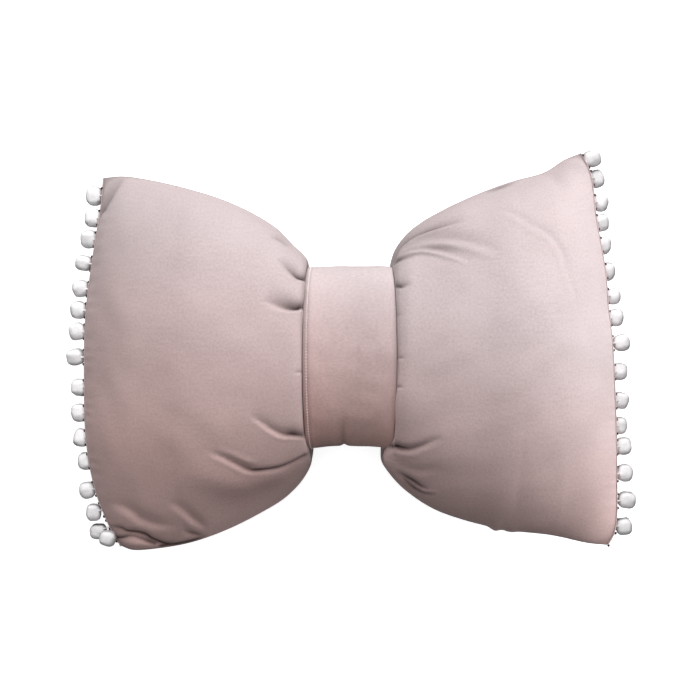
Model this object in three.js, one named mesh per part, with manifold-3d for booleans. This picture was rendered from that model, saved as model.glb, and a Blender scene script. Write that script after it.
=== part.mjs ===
// Bow-shaped throw pillow in brushed velvet: one filled body with two puffed wings and a gathered
// waist, a band wrapped round the waist, and a row of pompoms along each end seam.
// Millimetres, +Z up. The bow lies on its back: +X runs along it, +Y up its face, and the origin
// is on the surface it lies on, under its middle.

import * as THREE from 'three';
import { mergeVertices } from 'three/addons/utils/BufferGeometryUtils.js';
import Module from 'manifold-3d';

const wasm = await Module();
wasm.setup();

// Waist: the gathered middle of the body, under the band
const seamLevel = 66;
const waistX = -1;
const waistHalfLength = 39.5;
const waistTop = 77;
const waistBottom = -87;
const waistHalfDepth = 44.5;
const waistRoundness = 0.85;
const faceFlare = 4.1;
const backFlare = -3;
const flareFrom = 1.5;
const flareTo = 4;

// Band: a closed sleeve of cloth, clear of the waist inside it and of the wings beside it
const bandThickness = 2;
const bandGap = 0.4;
const bandRimGap = 0.7;

// Wings: how far in from an end seam a wing reaches its full height, and how blunt that end is
const endRun = 115;
const endBluntness = 0.68;
const seamBowPower = 3;

// Folds: the rise over the outline seam under which they fade out, the share of a thin place's
// rise that they may take, how far they lean away from the band beside it, how many trough widths
// to the side their roll lies, and the straight steps of their lines
const foldFadeRise = 12;
const foldShare = 0.6;
const foldSlant = 0.35;
const rollOffset = 1.5;
const foldSteps = 10;

// Mesh: strips up the face, how far they crowd towards the outline, strips along the waist, and how
// near two corners are to count as one
const strips = 36;
const crowding = 0.5;
const waistCuts = 3;
const sameCorner = 1e-4;

// Trim: the tape that holds the pompoms, how deep in it a stem starts, the stems, and a pompom's
// outline as shares of its width and height, from its top down
const tapeGap = 0.4;
const tapeDepth = 1.4;
const tapeHalfHeight = 1.6;
const stemRoot = 0.6;
const stemRadius = 0.8;
const stemSides = 4;
const pomSides = 8;
const pomOutline = [[0, 0.5], [0.34, 0.46], [0.5, 0.24], [0.5, -0.24], [0.34, -0.46], [0, -0.5]];

// One row is one section across the wing, from the band outwards. Top and bottom are where it
// meets the outline seam, crown is the face's rise above that seam, belly the back's drop below
// it, edge how sharp the section is at the seam, and cuts the strips up to the next row.
const leftRows = [
  { top: [-40.5, 85, 66], bottom: [-40.2, -92.5, 66], crown: 50, belly: 50, edge: 0.88, cuts: 2 },
  { top: [-44, 93, 66], bottom: [-38.5, -104, 66], crown: 55, belly: 56, edge: 0.92, cuts: 2 },
  { top: [-53, 103, 66], bottom: [-44, -119.5, 66], crown: 60, belly: 62, edge: 0.98, cuts: 3 },
  { top: [-69, 116, 67], bottom: [-61, -138, 66], crown: 66, belly: 68, edge: 1.06, cuts: 4 },
  { top: [-92, 129.5, 68], bottom: [-87, -154, 67], crown: 71, belly: 74, edge: 1.15, cuts: 4 },
  { top: [-122, 143, 68], bottom: [-118, -169, 69], crown: 74, belly: 78, edge: 1.25, cuts: 3 },
  { top: [-156, 153.5, 67], bottom: [-150, -180, 71], crown: 75, belly: 80, edge: 1.32, cuts: 3 },
  { top: [-190, 161.5, 64], bottom: [-182, -185.5, 72], crown: 75, belly: 80, edge: 1.4, cuts: 2 },
  { top: [-214, 165, 60], bottom: [-205, -187.5, 68], crown: 74, belly: 78, edge: 1.45, cuts: 4 },
  { top: [-234, 163, 57], bottom: [-217.5, -185, 60], crown: 73, belly: 76, edge: 1.5 },
];
const rightRows = [
  { top: [38.5, 85.5, 66], bottom: [38.3, -92, 66], crown: 50, belly: 50, edge: 0.88, cuts: 2 },
  { top: [42.5, 97.5, 66], bottom: [34, -104, 66], crown: 55, belly: 56, edge: 0.92, cuts: 2 },
  { top: [52.5, 110, 66], bottom: [41, -119, 66], crown: 60, belly: 62, edge: 0.98, cuts: 3 },
  { top: [67, 121.5, 66], bottom: [56, -135, 66], crown: 66, belly: 68, edge: 1.06, cuts: 4 },
  { top: [90, 134.5, 65], bottom: [79, -149.5, 66], crown: 71, belly: 74, edge: 1.15, cuts: 4 },
  { top: [120, 148.5, 62], bottom: [110, -160.5, 66], crown: 74, belly: 78, edge: 1.25, cuts: 3 },
  { top: [153, 160.5, 62], bottom: [148, -169, 66], crown: 75, belly: 80, edge: 1.32, cuts: 3 },
  { top: [184, 169.5, 60], bottom: [190, -174, 66], crown: 75, belly: 80, edge: 1.4, cuts: 2 },
  { top: [203, 181, 58], bottom: [224, -181.5, 64], crown: 74, belly: 78, edge: 1.45, cuts: 4 },
  { top: [218.5, 187, 56], bottom: [243.5, -184, 60], crown: 73, belly: 76, edge: 1.5 },
];

// End seams, from the bottom corner to the top one
const leftEndSeam = [
  [-217.5, -185, 60], [-227, -168, 61], [-240.5, -132, 64], [-248.5, -88, 66], [-250.5, -25, 67],
  [-249, 35, 67], [-242, 95, 65], [-236, 138, 61], [-234, 163, 57],
];
const rightEndSeam = [
  [243.5, -184, 60], [250, -170, 61], [251, -110, 64], [249.3, -45, 66], [246.5, 8, 67],
  [241, 72, 66], [232, 127, 62], [227.5, 168, 58], [218.5, 187, 56],
];

// Folds in the face. Each runs from, via and to a point of the plan, with its depth there; width
// is the trough's half width and swell the height of the roll beside it, above the trough's line
// where it is positive and below it where it is negative.
const leftFolds = [
  { from: [-213, 163], via: [-221, 147], to: [-231, 130], depth: [2, 6, 1], width: 9, swell: 1 },
  { from: [-43, 66], via: [-55, 71], to: [-68, 84], depth: [9, 4, 0], width: 6, swell: -2.5 },
  { from: [-43, 40], via: [-58, 44], to: [-84, 45], depth: [14, 6, 0], width: 7, swell: -4 },
  { from: [-44, -18], via: [-50, -19], to: [-62, -22], depth: [5, 2, 0], width: 5, swell: -1.5 },
  { from: [-43, -77], via: [-64, -75], to: [-92, -57], depth: [9, 7, 0], width: 9, swell: -2.5 },
  { from: [-42, -95], via: [-84, -118], to: [-128, -86], depth: [8, 10, 0], width: 10, swell: -3 },
  { from: [-222, -146], via: [-196, -160], to: [-160, -171], depth: [1, 4, 0], width: 8, swell: 3 },
  { from: [-156, -150], via: [-148, -162], to: [-138, -172], depth: [0, 4, 1], width: 6, swell: 2.5 },
  { from: [-219, -172], via: [-198, -172], to: [-174, -182], depth: [5, 8, 3], width: 5, swell: 3 },
];
const rightFolds = [
  { from: [38, 79], via: [56, 108], to: [100, 116], depth: [9, 8, 0], width: 6, swell: -3 },
  { from: [41, 76], via: [66, 102], to: [112, 90], depth: [8, 5, 0], width: 6, swell: -4 },
  { from: [42, 56], via: [50, 60], to: [62, 61], depth: [8, 3, 0], width: 6, swell: -2.5 },
  { from: [43, 32], via: [48, 32], to: [56, 32], depth: [3, 1, 0], width: 5, swell: 0 },
  { from: [43, -6], via: [50, -6], to: [66, -8], depth: [5, 2, 0], width: 5, swell: -1.5 },
  { from: [43, -32], via: [48, -32], to: [58, -33], depth: [3, 1, 0], width: 5, swell: 0 },
  { from: [41, -85], via: [54, -94], to: [76, -85], depth: [10, 6, 0], width: 8, swell: -2 },
  { from: [42, -107], via: [56, -122], to: [80, -127], depth: [0, 6, 0], width: 6, swell: 3.5 },
  { from: [138, 133], via: [200, 115], to: [208, 36], depth: [0, 2.5, 0], width: 14, swell: 1.5 },
  { from: [183, 170], via: [192, 158], to: [206, 148], depth: [5, 3, 0], width: 8, swell: 0 },
];

// Gathers in the back, round both edges of the band: a plain, even set
const backGathers = { levels: [-58, -24, 12, 46], length: 34, depth: 7, width: 7 };

// Pompoms, from the top of each seam down: the height of the centre in the plan, how far it sits
// out from the seam and below it, and its width and height
const leftPoms = [
  { y: 147.5, out: 7.4, drop: 8, wide: 14.5, tall: 18 },
  { y: 125.5, out: 7.2, drop: 9, wide: 15, tall: 17 },
  { y: 105, out: 7.2, drop: 8.5, wide: 14.7, tall: 16.8 },
  { y: 82, out: 7.5, drop: 9, wide: 15, tall: 14.2 },
  { y: 58, out: 7.6, drop: 8, wide: 15, tall: 15.6 },
  { y: 38, out: 7.6, drop: 9, wide: 15, tall: 16.2 },
  { y: 18, out: 8.2, drop: 7, wide: 14.7, tall: 15.8 },
  { y: -6, out: 8.4, drop: 7, wide: 15, tall: 15 },
  { y: -34.5, out: 7, drop: 9, wide: 14.6, tall: 15.8 },
  { y: -58.5, out: 7.4, drop: 8.5, wide: 14.6, tall: 16.8 },
  { y: -82, out: 6.8, drop: 9, wide: 14, tall: 16.6 },
  { y: -104, out: 6.4, drop: 9.5, wide: 14, tall: 16.4 },
  { y: -130, out: 7.2, drop: 8.5, wide: 14.6, tall: 15.4 },
  { y: -150.5, out: 7.6, drop: 8, wide: 14, tall: 15.2 },
  { y: -163.5, out: 12, drop: 15, wide: 14.4, tall: 14 },
  { y: -172.5, out: 9.4, drop: 0, wide: 14.6, tall: 14.4 },
];
const rightPoms = [
  { y: 176, out: 8.8, drop: 4, wide: 16, tall: 15.4 },
  { y: 164, out: 4, drop: 14, wide: 14.4, tall: 16.8 },
  { y: 141, out: 5.6, drop: 12, wide: 14.6, tall: 15.6 },
  { y: 121.5, out: 3.6, drop: 14, wide: 14.6, tall: 16.6 },
  { y: 100, out: 4, drop: 14, wide: 14.6, tall: 16.6 },
  { y: 75, out: 3.8, drop: 14, wide: 14.6, tall: 17 },
  { y: 51.5, out: 4.6, drop: 13, wide: 14.6, tall: 15.2 },
  { y: 30.5, out: 7, drop: 10, wide: 14.8, tall: 16 },
  { y: 7, out: 8.6, drop: 7, wide: 15.4, tall: 15.6 },
  { y: -20, out: 5.6, drop: 12, wide: 14.6, tall: 15.6 },
  { y: -47.5, out: 5.8, drop: 12, wide: 14.6, tall: 15.4 },
  { y: -71.5, out: 5, drop: 13, wide: 14.4, tall: 16.4 },
  { y: -91, out: 6.4, drop: 11, wide: 14.6, tall: 16 },
  { y: -116.5, out: 7.2, drop: 9, wide: 14.8, tall: 16.4 },
  { y: -142, out: 7.4, drop: 8, wide: 16, tall: 15.4 },
  { y: -166, out: 8, drop: 8, wide: 14.8, tall: 16 },
  { y: -178, out: -2, drop: 20, wide: 14.4, tall: 15 },
];

const velvet = new THREE.MeshStandardMaterial({ color: 0xcdb6b7, roughness: 0.9, metalness: 0 });
const bandVelvet = new THREE.MeshStandardMaterial({ color: 0xc9b0af, roughness: 0.9, metalness: 0 });
const pomYarn = new THREE.MeshStandardMaterial({ color: 0xf0edf0, roughness: 0.95, metalness: 0 });

const splineOf = (points) => new THREE.CatmullRomCurve3(points.map((p) => new THREE.Vector3(...p)));

// Fraction up a section of each strip's edge: even steps mixed with cosine steps, which crowd the
// strips towards the outline seam.
const levels = Array.from({ length: strips + 1 }, (_, j) => {
  const even = j / strips;
  const rounded = (1 - Math.cos(Math.PI * even)) / 2;
  return THREE.MathUtils.lerp(even, rounded, crowding);
});

// A section's height over its chord, as a share of its crown: 1 in the middle and 0 at both seams.
const archOf = (t, edge) => Math.max(4 * t * (1 - t), 0) ** (edge / 2);

// How far a wing has filled out at a distance in from its end seam, from 0 at the seam to 1.
function fillOf(distance) {
  const short = 1 - Math.min(Math.max(distance, 0) / endRun, 1);
  return (1 - short * short) ** endBluntness;
}

// Depth of one fold under a point of the plan: a trough along the fold's line, whose depth is
// mixed from its three given depths, with a roll beside it.
function foldDepth(fold, x, y) {
  const line = fold.line;
  let nearest = Infinity;
  let along = 0;
  let side = 1;
  for (let k = 0; k < line.length - 1; k += 1) {
    const dx = line[k + 1].x - line[k].x;
    const dy = line[k + 1].y - line[k].y;
    const px = x - line[k].x;
    const py = y - line[k].y;
    const share = THREE.MathUtils.clamp((px * dx + py * dy) / (dx * dx + dy * dy), 0, 1);
    const distance = Math.hypot(px - share * dx, py - share * dy);
    if (distance < nearest) {
      nearest = distance;
      along = (k + share) / (line.length - 1);
      side = Math.sign(dx * py - dy * px) * Math.sign(dx) || 1;
    }
  }
  const [start, middle, end] = fold.depth;
  const depth = (1 - along) ** 2 * start + 2 * along * (1 - along) * middle + along ** 2 * end;
  const deepest = Math.max(start, middle, end);
  const trough = depth * Math.exp(-((nearest / fold.width) ** 2));
  const beside = (side * Math.sign(fold.swell) * nearest) / fold.width - rollOffset;
  const roll = (Math.abs(fold.swell) * depth * Math.exp(-(beside ** 2))) / deepest;
  return trough - roll;
}

const withLine = (fold) => ({
  ...fold,
  line: new THREE.QuadraticBezierCurve(
    new THREE.Vector2(...fold.from),
    new THREE.Vector2(...fold.via),
    new THREE.Vector2(...fold.to),
  ).getPoints(foldSteps),
});

// A wing: side is -1 for the left one and 1 for the right one. Its first row, the root, is the
// section of the waist.
function wingOf(side, outerRows, endSeam, folds) {
  const rootX = waistX + side * waistHalfLength;
  const root = {
    top: [rootX, waistTop, seamLevel],
    bottom: [rootX, waistBottom, seamLevel],
    crown: waistHalfDepth,
    belly: waistHalfDepth,
    edge: waistRoundness,
    cuts: 1,
  };
  const rows = [root, ...outerRows];
  return {
    side,
    rows,
    last: rows.length - 1,
    top: splineOf(rows.map((row) => row.top)),
    bottom: splineOf(rows.map((row) => row.bottom)),
    form: splineOf(rows.map((row) => [row.crown, row.belly, row.edge])),
    endSeam: splineOf(endSeam),
    folds: folds.map(withLine),
    gathers: backGathers.levels.map((level) => {
      const start = waistX + side * (waistHalfLength + backFlare);
      const from = [start, level];
      const via = [start + (side * backGathers.length) / 2, level * 1.1];
      const to = [start + side * backGathers.length, level * 1.25];
      const depth = [backGathers.depth, backGathers.depth / 3, 0];
      return withLine({ from, via, to, depth, width: backGathers.width, swell: 0 });
    }),
  };
}

const leftWing = wingOf(-1, leftRows, leftEndSeam, leftFolds);
const rightWing = wingOf(1, rightRows, rightEndSeam, rightFolds);

// Point of the seam surface at row r and fraction t up the section: a straight mix of the bottom
// and top outlines, bowed more and more like the end seam towards it.
function seamSurface(wing, r, t) {
  const share = r / wing.last;
  const point = wing.bottom.getPoint(share).lerp(wing.top.getPoint(share), t);
  const chord = wing.endSeam.getPoint(0).lerp(wing.endSeam.getPoint(1), t);
  const bow = wing.endSeam.getPointAt(t).sub(chord);
  return point.addScaledVector(bow, share ** seamBowPower);
}

// Column of points up a wing's face (facing 1) or back (facing -1) at row r, with how far each
// point is pressed in by folds.
function wingColumn(wing, r, facing) {
  const form = wing.form.getPoint(r / wing.last);
  const middle = seamSurface(wing, r, 0.5);
  const seamMiddle = seamSurface(wing, wing.last, 0.5);
  const fill = fillOf(Math.abs(seamMiddle.x - middle.x));
  const height = (facing > 0 ? form.x : form.y) * fill;
  const nearBand = THREE.MathUtils.clamp((flareTo - r) / (flareTo - flareFrom), 0, 1);
  const flare = (facing > 0 ? faceFlare : backFlare) * nearBand;
  const folds = facing > 0 ? wing.folds : wing.gathers;
  return levels.map((t) => {
    const point = seamSurface(wing, r, t);
    const rise = height * archOf(t, form.z);
    point.z += facing * rise;
    point.x += wing.side * flare * Math.sqrt(4 * t * (1 - t));
    const depth = folds.reduce((sum, fold) => sum + foldDepth(fold, point.x, point.y), 0);
    const fade = Math.min(rise / foldFadeRise, r, 1);
    const pressed = Math.min(depth * fade, rise * foldShare);
    point.x += wing.side * Math.max(pressed, 0) * foldSlant * nearBand;
    return { point, pressed };
  });
}

// Column of points up the waist, a share of the way from the left wing's root to the right one's.
function waistColumn(share, facing) {
  const left = wingColumn(leftWing, 0, facing);
  const right = wingColumn(rightWing, 0, facing);
  return levels.map((_, j) => ({
    point: left[j].point.clone().lerp(right[j].point, share),
    pressed: 0,
  }));
}

// Rows at which a wing is cut, from its root outwards. The last interval's cuts crowd towards the
// end seam, where the cloth turns over.
function cutsOf(wing) {
  const cuts = wing.rows.slice(0, -1).flatMap((row, k) =>
    Array.from({ length: row.cuts }, (_, n) => {
      const even = n / row.cuts;
      return k + (k === wing.last - 1 ? 1 - (1 - even) ** 2 : even);
    }),
  );
  return [...cuts, wing.last];
}

// Grid of the whole face or back, from the left end seam to the right one. The folds press it in
// at right angles to the cloth, within each section's plane, and it lies flat on what is below.
function bodyGrid(facing) {
  const columns = [
    ...cutsOf(leftWing).reverse().map((r) => wingColumn(leftWing, r, facing)),
    ...Array.from({ length: waistCuts - 1 }, (_, n) => waistColumn((n + 1) / waistCuts, facing)),
    ...cutsOf(rightWing).map((r) => wingColumn(rightWing, r, facing)),
  ];
  return columns.map((column, i) =>
    column.map(({ point, pressed }, j) => {
      const placed = point.clone();
      if (i > 0 && i < columns.length - 1 && j > 0 && j < strips) {
        const up = column[j + 1].point.clone().sub(column[j - 1].point);
        const inward = new THREE.Vector3(0, up.z, -up.y).normalize();
        placed.addScaledVector(inward, facing * pressed);
      }
      placed.z = Math.max(placed.z, 0);
      return placed;
    }),
  );
}

// Closed geometry from a list of triangles, each of three points, with its shared points merged.
function closedGeometry(triangles) {
  const geometry = new THREE.BufferGeometry().setFromPoints(triangles.flat());
  const merged = mergeVertices(geometry, sameCorner);
  merged.computeVertexNormals();
  return merged;
}

// Two triangles of a quad whose corners go round anticlockwise, split from its first corner to
// its third, or from its second to its fourth.
const quad = (a, b, c, d, fromFirst = true) =>
  fromFirst ? [[a, b, c], [a, c, d]] : [[a, b, d], [b, c, d]];

// How nearly a split quad's two triangles lie in one plane: 1 where they do.
function flatness(triangles) {
  const [first, second] = triangles.map((corners) => new THREE.Triangle(...corners));
  const normals = [first, second].map((face) => face.getNormal(new THREE.Vector3()));
  return normals[0].dot(normals[1]);
}

// Body: face and back share the points of the outline seam. A quad is split the way that leaves it
// flatter, but one at a corner always towards the middle, so that it doesn't lie on its twin.
function bowCushion() {
  const triangles = [1, -1].flatMap((facing) => {
    const grid = bodyGrid(facing);
    const lastColumn = grid.length - 2;
    const quads = grid.slice(1).flatMap((column, i) =>
      column.slice(1).flatMap((corner, j) => {
        const corners = [grid[i][j], column[j], corner, grid[i][j + 1]];
        const splits = [quad(...corners, true), quad(...corners, false)];
        if ((i === 0 || i === lastColumn) && (j === 0 || j === strips - 1)) {
          return splits[(i === 0) === (j === 0) ? 0 : 1];
        }
        return splits[flatness(splits[0]) >= flatness(splits[1]) ? 0 : 1];
      }),
    );
    return facing > 0 ? quads : quads.map(([a, b, c]) => [a, c, b]);
  });
  return closedGeometry(triangles);
}

// Band: the waist's section, let out by the gap and the cloth's thickness, carried along the waist
// and closed at both rims.
function centreBand() {
  const loop = [
    ...waistColumn(0.5, 1).map(({ point }) => point),
    ...waistColumn(0.5, -1).map(({ point }) => point).slice(1, -1).reverse(),
  ];
  const ringAt = (offset, along) =>
    loop.map((point, k) => {
      const before = loop[(k + loop.length - 1) % loop.length];
      const after = loop[(k + 1) % loop.length];
      const run = new THREE.Vector2(after.y - before.y, after.z - before.z).normalize();
      const bulge = k <= strips ? faceFlare : backFlare;
      const level = levels[k <= strips ? k : loop.length - k];
      const flare = bulge * Math.sqrt(4 * level * (1 - level));
      const x = waistX + along * (waistHalfLength + flare - bandRimGap);
      return new THREE.Vector3(x, point.y - run.y * offset, point.z + run.x * offset);
    });
  const inner = bandGap;
  const outer = bandGap + bandThickness;
  const rings = [
    ringAt(inner, 1), ringAt(outer, 1), ringAt(outer, 0), ringAt(outer, -1), ringAt(inner, -1),
  ];
  const triangles = rings.flatMap((ring, i) => {
    const next = rings[(i + 1) % rings.length];
    return ring.flatMap((point, k) => {
      const after = (k + 1) % ring.length;
      return quad(point, ring[after], next[after], next[k]);
    });
  });
  return closedGeometry(triangles);
}

// A closed geometry as a solid that can be joined to others.
function solidOf(geometry) {
  const bare = geometry.clone();
  bare.deleteAttribute('normal');
  bare.deleteAttribute('uv');
  const merged = mergeVertices(bare, sameCorner);
  const vertProperties = new Float32Array(merged.attributes.position.array);
  const triVerts = new Uint32Array(merged.index.array);
  return new wasm.Manifold(new wasm.Mesh({ numProp: 3, vertProperties, triVerts }));
}

function geometryOf(solid) {
  const mesh = solid.getMesh();
  const geometry = new THREE.BufferGeometry();
  geometry.setAttribute('position', new THREE.BufferAttribute(mesh.vertProperties, 3));
  geometry.setIndex(new THREE.BufferAttribute(mesh.triVerts, 1));
  geometry.computeVertexNormals();
  return geometry;
}

// Where the trim follows the end seam at fraction t: the seam's point and its outward direction.
function seamFrame(wing, t) {
  const point = wing.endSeam.getPointAt(t);
  const tangent = wing.endSeam.getTangentAt(t);
  const outward = new THREE.Vector3(tangent.y, -tangent.x, 0).normalize().multiplyScalar(wing.side);
  return { point, outward };
}

// Tape: a narrow strip along the end seam, parted from the cloth's edge.
function tape(wing) {
  const up = new THREE.Vector3(0, 0, tapeHalfHeight);
  const sections = levels.map((t) => {
    const { point, outward } = seamFrame(wing, t);
    const near = point.clone().addScaledVector(outward, tapeGap);
    const far = point.clone().addScaledVector(outward, tapeGap + tapeDepth);
    return [near.clone().add(up), far.clone().add(up), far.clone().sub(up), near.clone().sub(up)];
  });
  const walls = sections.slice(1).flatMap((section, i) =>
    section.flatMap((corner, k) => {
      const after = (k + 1) % section.length;
      return quad(sections[i][k], sections[i][after], section[after], corner);
    }),
  );
  const first = sections[0];
  const final = sections[sections.length - 1];
  const ends = [...quad(...first.slice().reverse()), ...quad(...final)];
  const triangles = [...walls, ...ends];
  const outward = wing.side > 0;
  return closedGeometry(outward ? triangles : triangles.map(([a, b, c]) => [a, c, b]));
}

// Fraction along the end seam at which it reaches a height in the plan, found by halving.
function seamShareAt(wing, y) {
  let low = 0;
  let high = 1;
  while (high - low > 1e-9) {
    const middle = (low + high) / 2;
    if (wing.endSeam.getPointAt(middle).y < y) low = middle;
    else high = middle;
  }
  return (low + high) / 2;
}

// Pompom: a ball with flattened ends, turned about the plan's +Y, its outline a rounded square.
function pomGeometry({ wide, tall }) {
  const points = pomOutline.map(([out, up]) => new THREE.Vector2(out * wide, up * tall));
  return new THREE.LatheGeometry(points.reverse(), pomSides);
}

// Stem: a short thread from the tape to the middle of its pompom.
function stemGeometry(from, to) {
  const length = from.distanceTo(to);
  const geometry = new THREE.CylinderGeometry(stemRadius, stemRadius, length, stemSides);
  const direction = to.clone().sub(from).normalize();
  const turn = new THREE.Quaternion().setFromUnitVectors(new THREE.Vector3(0, 1, 0), direction);
  geometry.applyQuaternion(turn);
  const middle = from.clone().lerp(to, 0.5);
  geometry.translate(middle.x, middle.y, middle.z);
  return geometry;
}

// Trim: the tape with every stem and pompom fused to it.
function pompomTrim(wing, poms) {
  const pieces = poms.map((pom) => {
    const { point, outward } = seamFrame(wing, seamShareAt(wing, pom.y));
    const root = point.clone().addScaledVector(outward, tapeGap + tapeDepth * stemRoot);
    const centre = point.clone().addScaledVector(outward, pom.out + tapeGap);
    centre.z -= pom.drop;
    const ball = pomGeometry(pom);
    ball.translate(centre.x, centre.y, centre.z);
    return solidOf(ball).add(solidOf(stemGeometry(root, centre)));
  });
  return geometryOf(pieces.reduce((joined, piece) => joined.add(piece), solidOf(tape(wing))));
}

const pillow = new THREE.Group();

function place(name, geometry, material) {
  const mesh = new THREE.Mesh(geometry, material);
  mesh.name = name;
  pillow.add(mesh);
}

place('bow_cushion', bowCushion(), velvet);
place('centre_band', centreBand(), bandVelvet);
place('pompom_trim_left', pompomTrim(leftWing, leftPoms), pomYarn);
place('pompom_trim_right', pompomTrim(rightWing, rightPoms), pomYarn);

export default pillow;
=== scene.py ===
"""A bow-shaped throw pillow in brushed velvet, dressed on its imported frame.

Two puffed wings are gathered into a waist under a wrapped band, and a pompom trim runs along both
end seams. The bow lies on its back: +X runs along it, +Y up its face and +Z out of its face.
Sizes are in millimetres where nothing else is said, and become metres in the scene.
"""

import logging
import math
from collections.abc import Mapping, Sequence
from dataclasses import dataclass, field
from enum import Enum
from typing import Any, TypeAlias

import bpy
import numpy as np
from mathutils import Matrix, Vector


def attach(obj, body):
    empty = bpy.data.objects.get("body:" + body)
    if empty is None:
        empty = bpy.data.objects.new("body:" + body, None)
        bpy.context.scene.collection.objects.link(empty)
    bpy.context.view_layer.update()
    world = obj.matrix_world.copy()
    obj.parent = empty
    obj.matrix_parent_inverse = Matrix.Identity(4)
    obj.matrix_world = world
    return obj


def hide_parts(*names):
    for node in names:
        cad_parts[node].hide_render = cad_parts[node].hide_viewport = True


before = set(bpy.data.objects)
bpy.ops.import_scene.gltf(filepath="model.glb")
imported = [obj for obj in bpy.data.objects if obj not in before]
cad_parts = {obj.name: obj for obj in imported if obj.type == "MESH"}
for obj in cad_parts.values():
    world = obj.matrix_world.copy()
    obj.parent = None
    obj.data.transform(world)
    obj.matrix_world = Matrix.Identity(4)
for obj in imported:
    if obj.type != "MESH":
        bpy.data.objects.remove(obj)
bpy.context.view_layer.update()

logging.basicConfig(level=logging.INFO, format="%(message)s")
log = logging.getLogger("bow_pillow")

Array: TypeAlias = np.ndarray
Piece: TypeAlias = bpy.types.Object
Finish: TypeAlias = bpy.types.Material
Plan: TypeAlias = tuple[float, float]
Point: TypeAlias = tuple[float, float, float]
Creased: TypeAlias = tuple[float, float, float, float]
Colour: TypeAlias = tuple[float, float, float]

MM = 0.001


class Side(Enum):
    """A wing of the bow, by the way it runs along X."""

    LEFT = -1
    RIGHT = 1


class Panel(Enum):
    """A cloth panel of the bow, by the way it bulges along Z."""

    FACE = 1
    BACK = -1


# Numbers on arrays


def mix(first: Array, second: Array, share: Array) -> Array:
    """Straight mix: the first at a share of 0, the second at 1."""
    return first + (second - first) * share


def unit(vectors: Array) -> Array:
    """Vectors, along the last axis, brought to a length of 1."""
    return vectors / np.maximum(np.linalg.norm(vectors, axis=-1, keepdims=True), 1e-12)


def smooth_step(value: Array, start: float, stop: float) -> Array:
    """0 up to start and 1 from stop, with an S-shaped rise between them: 3s^2 - 2s^3."""
    share = np.clip((value - start) / (stop - start), 0, 1)
    return share * share * (3 - 2 * share)


def bell(distance: Array, reach: float, power: float = 2) -> Array:
    """1 at no distance, and fading out past the reach: exp(-|distance / reach|^power)."""
    return np.exp(-(np.abs(distance / reach) ** power))


def round_turn(count: int) -> Array:
    """That many evenly spaced angles, once round."""
    return np.arange(count) / count * 2 * np.pi


def crowded(even: Array, crowding: float) -> Array:
    """Even shares that crowd towards 0 and 1: a mix with (1 - cos(pi s)) / 2."""
    return mix(even, (1 - np.cos(np.pi * even)) / 2, crowding)


def travelled(lines: Array) -> Array:
    """The way along lines to each of their points, which follow on the last axis but one."""
    chords = np.linalg.norm(np.diff(lines, axis=-2), axis=-1)
    return np.concatenate([0 * chords[..., :1], np.cumsum(chords, axis=-1)], axis=-1)


def ripples(place: Array, wavelength: float, seed: int, waves: int = 24) -> Array:
    """Seeded unevenness, about -1 to 1, of no set direction.

    It is the sum of plane cosine waves in random directions, each with a random phase and a length
    of 0.7 to 1.5 times the given one.

    Args:
        place: Points, with their coordinates along the last axis.
        wavelength: Middle length of the waves, in the points' unit.
        seed: Seed of the random numbers.
        waves: Number of waves.

    Returns:
        One value for each point.
    """
    random = np.random.default_rng(seed)
    directions = unit(random.normal(size=(waves, place.shape[-1])))
    lengths = wavelength * random.uniform(0.7, 1.5, waves)
    phases = random.uniform(0, 2 * np.pi, waves)
    turns = place @ (directions * (2 * np.pi / lengths)[:, None]).T + phases
    return np.cos(turns).sum(axis=-1) / math.sqrt(waves)


@dataclass(frozen=True)
class Spline:
    """A smooth open curve through points: a centripetal Catmull-Rom spline.

    Attributes:
        points: The points it goes through, one a row.
        steps: Straight steps over which its length is measured.
    """

    points: Array
    steps: int = 200

    def at(self, share: Array) -> Array:
        """Points of the curve, with the same share of its length between any two given points.

        Between two of them it is the cubic whose end slopes weigh the neighbouring chords by the
        square roots of their lengths. Past each end it takes the end chord as repeated.

        Args:
            share: Shares of the way along, from 0 to 1, of any shape.

        Returns:
            One point for each share.
        """
        given = self.points
        padded = np.vstack([2 * given[0] - given[1], given, 2 * given[-1] - given[-2]])
        place = np.clip(share, 0, 1) * (len(given) - 1)
        span = np.minimum(place.astype(int), len(given) - 2)
        weight = (place - span)[..., None]
        p0, p1, p2, p3 = (padded[span + k] for k in range(4))
        d0, d1, d2 = (
            np.sqrt(np.linalg.norm(b - a, axis=-1, keepdims=True))
            for a, b in ((p0, p1), (p1, p2), (p2, p3))
        )
        slope1 = ((p1 - p0) / d0 - (p2 - p0) / (d0 + d1) + (p2 - p1) / d1) * d1
        slope2 = ((p2 - p1) / d1 - (p3 - p1) / (d1 + d2) + (p3 - p2) / d2) * d1
        square = 3 * (p2 - p1) - 2 * slope1 - slope2
        cube = 2 * (p1 - p2) + slope1 + slope2
        return p1 + weight * (slope1 + weight * (square + weight * cube))

    def along(self, share: Array) -> Array:
        """Points at shares of the curve's length."""
        ticks = np.linspace(0, 1, self.steps + 1)
        way = travelled(self.at(ticks))
        return self.at(np.interp(share * way[-1], way, ticks))


# Meshes


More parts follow.
